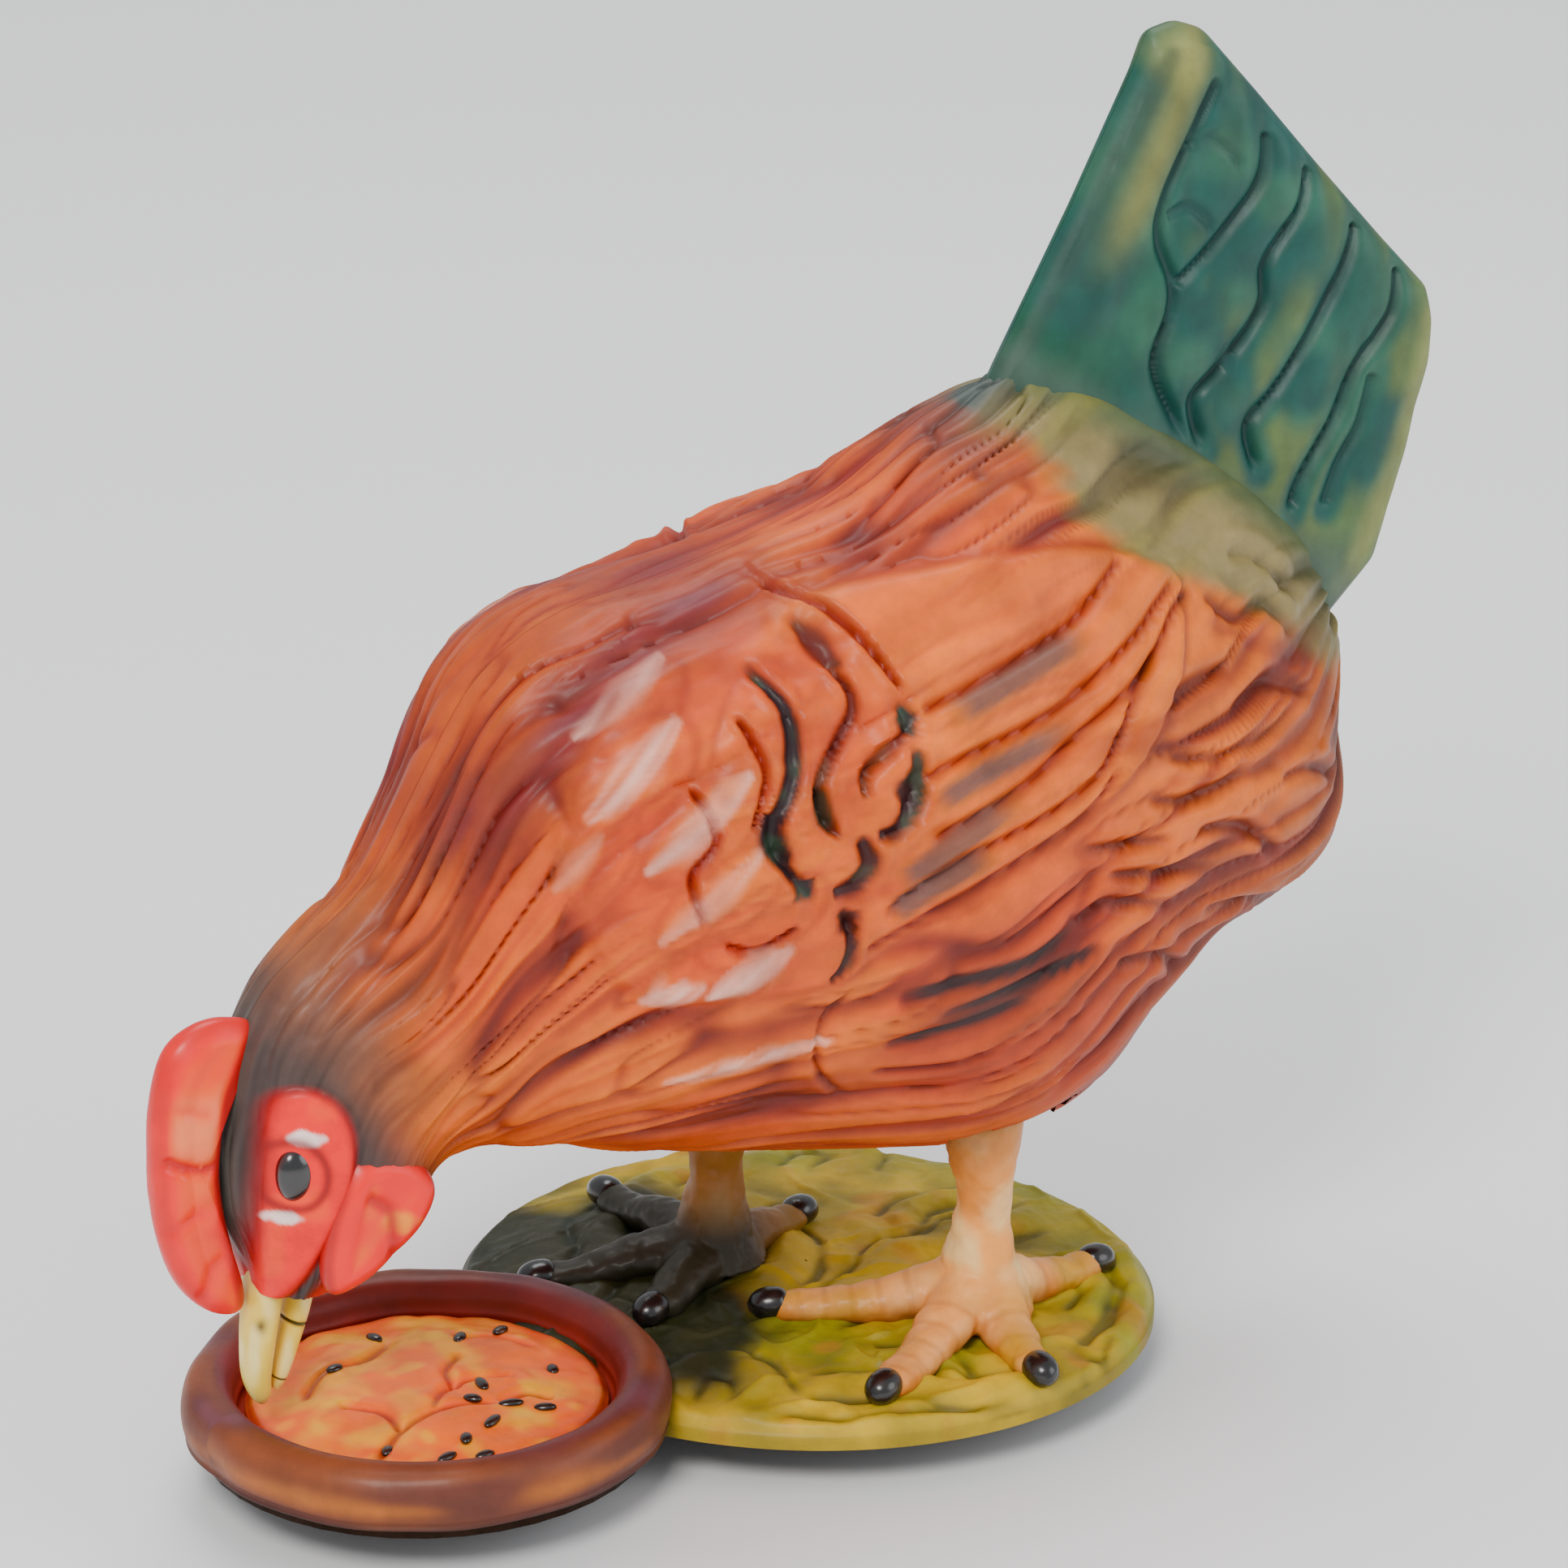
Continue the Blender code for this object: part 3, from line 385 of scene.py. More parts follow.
SQUIGGLES = [  # wavy cuts in the middle of the wing: points, half width and how black
    ([(-23, 97), (-20.5, 93), (-20, 90), (-21, 85), (-24, 80), (-23.5, 76), (-21, 73)], 0.75, 1.0),
    ([(-24, 82), (-24.5, 79), (-23, 76)], 1.25, 1.0), ([(-21.6, 73.6), (-20.8, 72.6)], 1.3, 1.0),
    ([(-14, 97), (-12, 92), (-15, 88), (-18, 84), (-17.5, 80), (-16, 78)], 0.5, 0.55),
    ([(-18, 84), (-18, 81), (-17, 79)], 0.8, 0.85), ([(-15, 99), (-12.5, 96)], 1.1, 0.6),
    ([(-6, 89), (-9, 87), (-12, 85), (-13, 82)], 0.5, 0.5), ([(-6.6, 90.5), (-6.2, 88.6)], 1.1, 1.0),
    ([(-6.5, 87), (-6, 83), (-7.5, 80), (-10, 78), (-12, 78)], 0.75, 0.95),
    ([(-7, 83.5), (-8, 80.5)], 1.3, 0.95), ([(-14, 78), (-13, 75), (-15, 72.5), (-18, 72)], 0.9, 0.9),
    ([(-16, 69), (-15.5, 66), (-16, 63), (-18, 61)], 0.6, 0.9),
    ([(-16.4, 69.2), (-15.4, 67.6)], 1.2, 0.8),
    ([(-16, 103), (-12, 101), (-9, 98), (-6, 92)], 0.45, 0.0),
    ([(-33, 86), (-31, 80), (-34, 76), (-33, 70)], 0.4, 0.0),
    ([(-26, 92), (-24, 86), (-27, 80)], 0.4, 0.0), ([(-22, 69), (-27, 67), (-31, 68)], 0.4, 0.0),
]
KNOBS = [  # raised dots among them: x, z, size
    (-15.5, 76.0, 1.7), (-18.8, 76.5, 1.5), (-11.5, 75.2, 1.6), (-10.5, 81.5, 1.6), (-15.0, 83.0, 1.8),
    (-17.0, 91.0, 2.4), (-9.5, 91.5, 2.2),
]
FLECKS = [  # pale oval dabs: ends, half width, strength
    ([(-43.5, 83), (-32.5, 92)], 1.8, 0.8), ([(-38.5, 77), (-26, 86)], 2.0, 0.72),
    ([(-43, 91), (-31, 98)], 1.2, 0.5), ([(-37.5, 69), (-26, 78)], 1.6, 0.55),
    ([(-48, 75), (-43, 81)], 1.5, 0.3), ([(-39, 61.5), (-33.5, 63)], 2.2, 0.95),
    ([(-32, 61.5), (-23.5, 66)], 2.4, 0.95), ([(-35, 49.5), (-17, 53)], 1.3, 0.8),
]
COVERTS = [(-38, 87, 35), (-32, 81, 35), (-37, 94, 28), (-31, 73, 33), (-45, 78, 50),
           (-31, 64, 15), (-24, 90, 50), (-26, 70, 25)]
RUMP = [  # softer folds behind and below the wing
    [(30, 85), (36, 86), (43, 86)], [(29, 79), (38, 77), (52, 77)], [(25, 75), (34, 73), (44, 75)],
    [(15, 71), (23, 70), (30, 69)], [(19, 67), (28, 65), (38, 63)], [(16, 61), (20, 63), (31, 60)],
    [(40, 95), (46, 90), (52, 90), (58, 84)], [(48, 71), (56, 70), (63, 66)],
    [(33, 69), (42, 67), (50, 60)], [(36, 57), (44, 56), (52, 53)], [(46, 97), (52, 95), (60, 88)],
    [(41, 81), (50, 82), (60, 77)], [(22, 54), (30, 53), (36, 48)],
]
THIGH = [  # cuts over the thigh: points, half width
    ([(-9, 56), (-3, 57), (9, 58), (16, 61)], 1.0), ([(-4, 53), (5, 54.5), (14, 56), (20, 58)], 0.8),
    ([(-10, 50.5), (0, 51.5), (10, 53)], 0.8), ([(-11, 47), (0, 46), (8, 48)], 0.55),
    ([(-6, 43), (4, 42), (14, 44)], 0.45), ([(2, 38), (12, 39), (20, 43)], 0.4),
    ([(-14, 60), (-18, 55), (-17, 48), (-12, 43)], 0.45),
]
BACK_SHADE = [(-60, 72), (-54, 80), (-46, 89), (-39, 95.5), (-30, 99.5), (-18, 103), (-8, 105)]
TAIL_ROOT = [(13, 122), (12, 117), (20, 114), (26, 105), (33, 98), (47, 91), (60, 84), (68, 76), (90, 76),
             (95, 100), (40, 140)]
FACE = [(-77.2, 50.0), (-74.5, 52.0), (-71.5, 50.5), (-69.8, 46.5), (-69.8, 41.5), (-71.5, 36.0),
        (-74.0, 30.0), (-76.0, 25.0), (-78.6, 24.0), (-78.8, 32.0), (-78.4, 42.0)]
EYE = (-76.0, 41.8)
EYE_DABS = [(-74.6, 46.4, 1.7, 0.9), (-76.9, 36.6, 1.4, 0.9)]     # x, z and half sizes


def body_points(side, along=ALONG, around=AROUND):
    """Smooth points over one half, with u (0 tail to 20 beak) and v (0 back to 1 belly)."""
    rows = catmull_rom(STATIONS, along)
    turn = np.pi * np.linspace(0, 1, around)
    top, low, width = rows[:, None, 0:2], rows[:, None, 2:4], rows[:, 4, None]
    plane = (top + low) / 2 + np.cos(turn)[None, :, None] * (top - low) / 2
    y = side * np.maximum(width * np.sin(turn).clip(0)[None, :] ** SECTION_POWER, SEAM)
    points = columns(plane[..., 0], y, plane[..., 1])
    u = np.linspace(0, len(STATIONS) - 1, along)[:, None] + 0 * turn[None, :]
    v = np.linspace(0, 1, around)[None, :] + 0 * u
    return points, u, v


def surface_normals(points, side):
    along = np.gradient(points, axis=0)
    around = np.gradient(points, axis=1)
    normals = np.cross(around, along) * side
    return normals / np.maximum(np.linalg.norm(normals, axis=-1, keepdims=True), 1e-9)


def bare_skin(side):
    """One side of the body before its relief: points, where they lie, and noise along the feathers."""
    points, u, v = body_points(side)
    shoulder = 1 - np.clip(u / 1.3, 0, 1)
    points[..., 1] *= 0.46 + 0.54 * np.sqrt(1 - shoulder**2)
    swell = RUMP_SWELL * shoulder * np.sin(np.pi * v)   # the feathers lap over the tail's root
    points = points + swell[..., None] * (0.6, 0.0, 0.8)
    seed = 3 if side < 0 else 11
    skin = SimpleNamespace(points=points, x=points[..., 0], z=points[..., 2], u=u, v=v, seed=seed)
    width = np.abs(points[..., 1]).max(axis=1, keepdims=True)
    flow = columns(u * 11.0, v * (40 + 2.1 * width), 0 * u + side * 5.0)
    warp = noise(flow, (26, 16, 10), seed) * 2.2 + noise(flow, (11, 6, 10), seed + 1) * 0.8
    flow = flow + columns(0 * warp, warp, 0 * warp)
    skin.coarse = noise(flow, (30, 3.4, 10), seed + 2)
    skin.medium = noise(flow, (17, 1.7, 10), seed + 3)
    skin.fine = noise(flow, (9, 0.9, 10), seed + 4)
    skin.long_cut = bell(noise(flow, (34, 4.6, 10), seed + 6), 0.11)
    skin.short_cut = bell(noise(flow, (20, 2.6, 10), seed + 7), 0.12)
    skin.lumps = noise(points, 13, seed + 5)
    skin.wing_gap = outline_distance(skin.x, skin.z, closed_curve(WING_TOP + WING_LOW, 120))
    skin.wing = step(1.6, -1.6, skin.wing_gap)
    skin.face_gap = outline_distance(skin.x, skin.z, closed_curve(FACE, 90))
    skin.face = step(0.7, -0.7, skin.face_gap) * step(15.0, 15.8, u)
    return skin


def press_feathers(skin):
    """Starts the relief, with ragged feathers all over: its height in mm, and how dark its cuts are painted."""
    wing, face, head = skin.wing, skin.face, step(12.5, 15.5, skin.u)
    height = 1.1 * wing + 0.55 * skin.lumps * (1 - head)
    skin.streaks = (1 - 0.5 * wing) * (1 - 0.7 * head) * (1 - face)
    height += skin.streaks * (0.70 * skin.coarse + 0.52 * skin.medium)
    height += (1 - face) * (1 - 0.5 * head) * 0.14 * skin.fine
    height -= skin.streaks * (0.65 * skin.long_cut + 0.40 * skin.short_cut)
    edge = bell(skin.wing_gap, 0.9) * (0.25 + 0.75 * step(-34, -12, skin.x))
    cut = skin.streaks * np.maximum(0.85 * skin.long_cut, 0.55 * skin.short_cut)
    skin.height, skin.cut = height - 0.55 * edge, np.maximum(cut, 0.7 * edge)


def press_wing(skin):
    """The long primaries, the wavy cuts with their black paint, the dots among them and the coverts."""
    x, z, cut = skin.x, skin.z, skin.cut
    nearest = np.full(x.shape, 99.0)
    for line in PRIMARIES:
        d, fade = stroke(x, z, line, 0.06, 0.9)
        nearest = np.minimum(nearest, d)
        skin.height -= 1.15 * fade * bell(d, 0.72)
        cut = np.maximum(cut, fade * bell(d, 0.62))
    skin.height += step(-13, -6, x) * skin.wing * 0.75 * (1 - bell(nearest, 1.9))
    black = np.zeros_like(x)
    for line, half, inked in SQUIGGLES:
        d, t = line_distance(x, z, line)
        fade = step(0.0, 0.1, t) * step(1.0, 0.9, t) if len(line) > 2 else 1.0
        swell = half * (0.7 + 0.8 * np.sin(math.pi * np.clip(t * 1.05, 0, 1)))
        skin.height -= 1.0 * fade * bell(d, swell)
        skin.height += 0.35 * fade * bell(d - 2.1 * half, half)
        black = np.maximum(black, inked * fade * step(1.25, 0.6, d / swell))
        cut = np.maximum(cut, fade * bell(d, swell + 0.3))
    for cx, cz, size in KNOBS:
        skin.height += 0.7 * hump(x, z, (cx, cz), (size, size))
    ovals = np.zeros_like(x)
    for cx, cz, tilt in COVERTS:
        c, s = math.cos(math.radians(tilt)), math.sin(math.radians(tilt))
        a, b = (x - cx) * c + (z - cz) * s, -(x - cx) * s + (z - cz) * c
        r = np.hypot(a / 7.5, b / 3.6)
        ovals += 0.45 * step(1.15, 0.5, r)
        cut = np.maximum(cut, 0.42 * bell(r - 1.1, 0.13) * skin.wing)
    skin.height += 1.5 * ovals * skin.wing
    skin.cut, skin.black = cut, black


def press_folds(skin):
    """The cuts over the thigh and the softer folds of the rump."""
    x, z, cut = skin.x, skin.z, skin.cut
    for line, half in THIGH:
        d, fade = stroke(x, z, line, 0.15, 0.8)
        skin.height -= 0.7 * fade * bell(d, half)
        skin.height += 0.22 * fade * bell(d - 2.2 * half, half)
        cut = np.maximum(cut, 1.2 * fade * bell(d, half) * step(0.42, 0.6, half + 0 * d))
        cut = np.maximum(cut, 0.6 * fade * bell(d, half))
    for line in RUMP:
        d, fade = stroke(x, z, line, 0.2, 0.75)
        skin.height -= 0.95 * fade * bell(d, 0.8)
        skin.height += 0.45 * fade * bell(d - 1.9, 0.9)
        cut = np.maximum(cut, 0.75 * fade * bell(d, 0.8))
    skin.cut = cut


def press_form(skin):
    """The swelling above the leg, the face with the eye's socket, the rump's tuck and the crown."""
    x, z, u, v = skin.x, skin.z, skin.u, skin.v
    skin.height += 1.3 * hump(x, z, (6, 42), (15, 11))
    skin.height += skin.face * 0.55 - 0.45 * bell(skin.face_gap, 0.7) * step(14.8, 15.6, u)
    socket = np.hypot((x - EYE[0]) / 3.0, (z - EYE[1]) / 4.2)
    skin.height -= skin.face * 0.35 * bell(socket, 0.8)
    skin.height *= step(0.0, 0.035, v) * step(1.0, 0.965, v) * step(0.0, 0.5, u)
    skin.height -= 2.6 * hump(x, z, (45, 40), (9, 8)) + 1.2 * hump(x, z, (71, 66), (6, 13))
    skin.height += CROWN_SWELL * step(12.4, 14.9, u) * step(19.8, 18.2, u) * step(0.32, 0.02, v)


def body_surface(side):
    """Points of one side with its relief, and their paint, darkened in the relief's hollows as painted shade.
    """
    skin = bare_skin(side)
    press_feathers(skin)
    press_wing(skin)
    press_folds(skin)
    press_form(skin)
    colour = plumage_tones(skin)
    for coat in (brush_strokes, tail_root_tones, head_tones):
        colour = coat(skin, colour)
    # Painted shade: the colour is darkened where the relief sinks below the surface, except on the face.
    recess_shade = np.clip(-skin.height * 0.55, 0, 0.5) * (1 - skin.face)
    points = skin.points + surface_normals(skin.points, side) * skin.height[..., None]
    points[..., 1] = side * np.maximum(side * points[..., 1], SEAM)
    points[:, 0, 1] = points[:, -1, 1] = side * SEAM
    return points, colour * (1 - recess_shade)[..., None]


def plumage_tones(skin):
    """The broad tones of the body, as linear colours, with painted shade in the feathers' hollows and a painted
    highlight on their crests.
    """
    x, u, v, streaks, medium = skin.x, skin.u, skin.v, skin.streaks, skin.medium
    back = step(0.26, 0.08, v) * (1 - skin.wing) * step(14.5, 12.5, u)
    belly = step(0.55, 0.88, v) * step(2.5, 5.0, u) * step(14.5, 12.0, u)
    rump = step(6.5, 4.0, u) * step(0.30, 0.5, v)
    tail_end = step(0.60, 0.84, v) * step(8.0, 5.2, u) * step(0.8, 2.2, u)
    # Painted shade in the hollows of the feather relief and a painted highlight on its crests.
    hollow_shade = np.clip(-(0.6 * skin.coarse + 0.5 * medium), 0, 1) * streaks
    crest_highlight = np.clip(0.6 * skin.coarse + 0.5 * medium - 0.1, 0, 1) * streaks
    band, fade = stroke(x, skin.z, BACK_SHADE, 0.12, 0.75)
    shade = bell(band, 3.1) * fade * step(13, 11.5, u)
    base = mix(srgb(196, 98, 66), srgb(214, 126, 82), step(-0.5, 0.9, skin.lumps + 0.5 * skin.fine))
    return coats(base, ((168, 84, 62), 0.75 * back),
                 ((222, 132, 82), 0.55 * skin.wing * step(-20, 5, x)),
                 ((150, 72, 52), 0.8 * belly),
                 ((212, 132, 90), 0.6 * rump),
                 ((86, 52, 50), 0.85 * tail_end),
                 ((126, 50, 42), 0.85 * np.clip(hollow_shade * 1.6, 0, 1)),
                 ((224, 140, 100), 0.35 * np.clip(crest_highlight * 1.4, 0, 1)),
                 ((94, 44, 52), 0.95 * shade * (0.85 + 0.5 * medium).clip(0, 1)),
                 ((120, 44, 38), np.clip(skin.cut, 0, 1) * 0.9))


def brush_strokes(skin, base):
    """Grey strokes on the primaries, pale dabs before them, dark strokes over the thigh and the black ink."""
    x, z, points, seed = skin.x, skin.z, skin.points, skin.seed
    for line, half in STREAKS:
        d, fade = stroke(x, z, line, 0.25, 0.7)
        base = mix(base, srgb(88, 72, 70), 0.85 * fade * step(1.25, 0.5, d / half))
    slanted = columns((x + z) * 0.7, points[..., 1], (z - x) * 0.7)
    brushed = noise(slanted, (5, 5, 0.8), seed + 21)
    for line, half, strength in FLECKS:
        d, t = line_distance(x, z, line)
        swell = half * np.sin(math.pi * np.clip(0.12 + 0.76 * t, 0, 1))
        ragged = d / np.maximum(swell, 0.2) + 0.5 * brushed
        dab = strength * step(1.4, 0.3, ragged) * (0.72 + 0.5 * brushed)
        base = mix(base, srgb(226, 184, 172), np.clip(dab, 0, 1))
    under_wing = hump(x, z, (6, 53), (14, 7))
    base = mix(base, srgb(84, 50, 46), 0.85 * under_wing * (0.8 + 0.6 * skin.fine).clip(0, 1))
    for line, half in THIGH[:3]:
        d, t = line_distance(x, z, line)
        ends = step(0.05, 0.3, t) * step(1.0, 0.75, t)
        base = mix(base, srgb(46, 38, 40), 0.85 * ends * step(1.3, 0.6, d / half))
    ink = mix(srgb(16, 16, 22), srgb(36, 58, 48), step(0.0, 0.5, noise(points, 2.4, seed + 22)))
    return mix(base, ink, 0.95 * skin.black)


def tail_root_tones(skin, base):
    """Olive over the tail's root, greyer along the back, with an edge ragged along the feathers."""
    x, y, z, u, v = skin.x, skin.points[..., 1], skin.z, skin.u, skin.v
    grain = columns((x * 0.9 - z * 0.4) / 9, y / 5, (x * 0.4 + z * 0.9) / 2.2)
    root = outline_distance(x, z, TAIL_ROOT) + 1.6 * noise(grain, 1.0, skin.seed + 30)
    green = step(2.2, -2.6, root)
    olive = mix(srgb(134, 122, 92), srgb(72, 90, 68), step(0.9, 0.1, u) * 0.8)
    olive = coats(olive, ((66, 74, 70), step(0.14, 0.04, v)),
                  ((138, 132, 84), 0.5 * step(0.2, 0.7, skin.medium)))
    rim = step(0.30, 0.10, v) * step(3.4, 1.8, u)
    return mix(mix(base, olive, green), srgb(92, 64, 62), 0.7 * rim * (1 - green))


def head_tones(skin, base):
    """The dark neck, the red face and throat, and the white dabs and dark ring round the eye."""
    points, seed, x, z, u, v = skin.points, skin.seed, skin.x, skin.z, skin.u, skin.v
    dark = step(11.8, 15.3, u - 1.4 * step(0.2, 0.7, v) + 0.5 * noise(points, 6, seed + 31))
    neck = mix(srgb(104, 74, 62), srgb(66, 56, 54), step(13.8, 16.0, u))
    neck = mix(neck, srgb(84, 84, 80), step(0.10, 0.03, v) * step(14.5, 16.5, u))
    neck = neck * (1 + 0.35 * skin.fine + 0.2 * skin.medium)[..., None]
    base = mix(base, neck, dark)
    red = mix(srgb(226, 66, 58), srgb(240, 104, 84), step(0.2, 0.9, noise(points, 4, seed + 32) + 0.5))
    red = mix(red, srgb(150, 30, 42), bell(skin.face_gap, 0.8) * 0.9)
    base = mix(base, red, skin.face)
    throat = step(15.4, 16.2, u) * step(0.45, 0.6, v) * (1 - skin.face)
    base = mix(base, srgb(200, 60, 56), 0.8 * throat * step(16.2, 17.2, u))
    for cx, cz, half_x, half_z in EYE_DABS:
        r = np.hypot((x - cx) / half_x, (z - cz) / half_z) + 0.3 * noise(points, 1.0, seed + 33)
        base = mix(base, srgb(245, 225, 220), step(1.2, 0.7, r) * step(15.5, 16, u))
    socket = np.hypot((x - EYE[0]) / 3.1, (z - EYE[1]) / 4.1)
    return mix(base, srgb(110, 20, 30), 0.8 * bell(socket - 1.0, 0.16) * skin.face)


def open_slots(mesh, side):
    """Cuts the leg slot, and on the right the key hole, by dropping faces and evening their rim."""
    label = side_label(side)
    foot, middle, half = FOOT[label], STRAP_Y[label], LEG_RADIUS + 1.0
    front, rear = foot[0] - LEG_RADIUS - 2.8, foot[0] + LEG_RADIUS + 7.0
    shape = bmesh.new()
    shape.from_mesh(mesh)
    gone = []
    for face in shape.faces:
        c = face.calc_center_median() / MM
        in_slot = front < c.x < rear and abs(c.y - middle) < half and c.z < SLOT_TOP
        if in_slot or (side > 0 and math.hypot(c.x - KEY_AXIS[0], c.z - KEY_AXIS[1]) < KEY_HOLE):
            gone.append(face)
    bmesh.ops.delete(shape, geom=gone, context="FACES")
    for vert in shape.verts:
        if not vert.is_boundary:
            continue
        c = vert.co / MM
        if front - 1.5 < c.x < rear + 1.5 and abs(c.y - middle) < half + 1.5 and c.z < SLOT_TOP:
            sides = [(abs(c.x - front), 0, front), (abs(c.x - rear), 0, rear),
                     (abs(c.y - middle + half), 1, middle - half),
                     (abs(c.y - middle - half), 1, middle + half)]
            _, axis, value = min(sides)
            vert.co[axis] = value * MM
        elif side > 0 and math.hypot(c.x - KEY_AXIS[0], c.z - KEY_AXIS[1]) < KEY_HOLE + 1.9:
            away = Vector((c.x - KEY_AXIS[0], 0, c.z - KEY_AXIS[1])).normalized() * KEY_HOLE
            vert.co.x, vert.co.z = (KEY_AXIS[0] + away.x) * MM, (KEY_AXIS[1] + away.z) * MM
    shape.to_mesh(mesh)
    shape.free()


def body_shell(side, material):
    """Half of the body: the embossed outside and the plain grey inside."""
    label = side_label(side)
    points, colour = body_surface(side)
    inner, _, _ = body_points(side, INNER_ALONG, INNER_AROUND)
    inner = inner - surface_normals(inner, side) * INSIDE_DEPTH
    inner[..., 1] = side * np.maximum(side * inner[..., 1], SEAM)
    outer_faces = grid_faces(ALONG, AROUND, flip=side > 0)
    inner_faces = grid_faces(INNER_ALONG, INNER_AROUND, flip=side < 0) + ALONG * AROUND
    grey = np.zeros((INNER_ALONG * INNER_AROUND, 3)) + srgb(120, 116, 108)
    grey *= (1 + 0.2 * noise(inner.reshape(-1, 3), 6, 9))[:, None]
    mesh = make_mesh("hen_body_" + label, np.concatenate([points.reshape(-1, 3), inner.reshape(-1, 3)]),
                     np.concatenate([outer_faces, inner_faces]),
                     np.concatenate([colour.reshape(-1, 3), grey]))
    open_slots(mesh, side)
    return piece("hen_body_" + label, mesh, material, "hen",
                 ("body_shell_" + label,), angle=60)


# ---------------------------------------------------------------- flat pieces with soft edges

def join_rings(rings_points, flip=False):
    """Faces along a list of rings, closed at both ends by a fan to a middle point."""
    around, count = len(rings_points[0]), len(rings_points)
    faces = [tuple(f) for f in grid_faces(count, around, closed=True, flip=flip)]
    points = list(np.concatenate(rings_points))
    for ring, first in ((rings_points[0], True), (rings_points[-1], False)):
        hub = len(points)
        points.append(ring.mean(axis=0))
        start = 0 if first else (count - 1) * around
        for j in range(around):
            a, b = start + j, start + (j + 1) % around
            faces.append((hub, a, b) if first != flip else (hub, b, a))
    return np.array(points), faces


def face_outward(mesh):
    shape = bmesh.new()
    shape.from_mesh(mesh)
    bmesh.ops.recalc_face_normals(shape, faces=shape.faces)
    if shape.calc_volume(signed=True) < 0:
        bmesh.ops.reverse_faces(shape, faces=shape.faces)
    shape.to_mesh(mesh)
    shape.free()


def ring_stack(outline, centre, half, rings, low_side, high_side, power=2.6, soft=1.2):
    """Rings from the middle of the low side, round the rim, to the middle of the high side."""
    reach = np.asarray(outline) - np.asarray(centre)
    span = np.linalg.norm(reach, axis=1).min()
    shares = np.linspace(0.0, 0.96, rings) ** 1.3
    stack = []

    def ring(share, side):
        inward = share * span
        rise = half * (1 - (1 - min(inward / (half * soft), 1.0)) ** power) ** (1 / power)
        flat = np.asarray(centre) + reach * (1 - share)
        return columns(flat[:, 0], np.full(len(flat), side * rise), flat[:, 1])

    if low_side:
        stack += [ring(share, -1) for share in shares[::-1]]
    if high_side:
        stack += [ring(share, 1) for share in (shares if not low_side else shares[1:])]
    return stack


# ---------------------------------------------------------------- tail

TAIL_OUTLINE = [(17.5, 112.5), (22.0, 121.0), (32.3, 139.0), (40.6, 154.6), (42.2, 158.6), (46.0, 159.4),
                (49.8, 158.0), (57.6, 149.6), (66.4, 139.8), (76.8, 128.6), (83.6, 121.6),
                (84.4, 118.0), (84.0, 112.0), (81.0, 101.0), (76.5, 87.0), (67.0, 78.0), (54.0, 84.0),
                (36.0, 97.0)]
TAIL_HALF = 4.2
TAIL_CENTRE = (52.0, 118.0)
TAIL_LINES = [
    ([(50.5, 153), (45.5, 145), (42, 138), (42, 134), (44, 129), (44, 125), (42, 118), (47, 108)], 1.0),
    ([(57.5, 145), (56, 139), (50.5, 133), (44.5, 128)], 0.9),
    ([(46, 145), (49.5, 145.5), (53, 142)], 0.45), ([(43, 137), (46.5, 137.5), (49.5, 134.5)], 0.6),
    ([(64, 140), (62, 135), (57.5, 129), (57, 124), (52.5, 118), (47.5, 113.5), (49, 107)], 1.0),
    ([(71, 132), (69, 127), (64, 119), (59.5, 113), (55.5, 109), (57, 103)], 1.0),
    ([(77.5, 125.5), (76, 120), (71, 114), (68, 108), (64, 102), (62, 97)], 1.0),
    ([(73.5, 113), (72, 107), (69, 102), (67, 97)], 0.7),
]


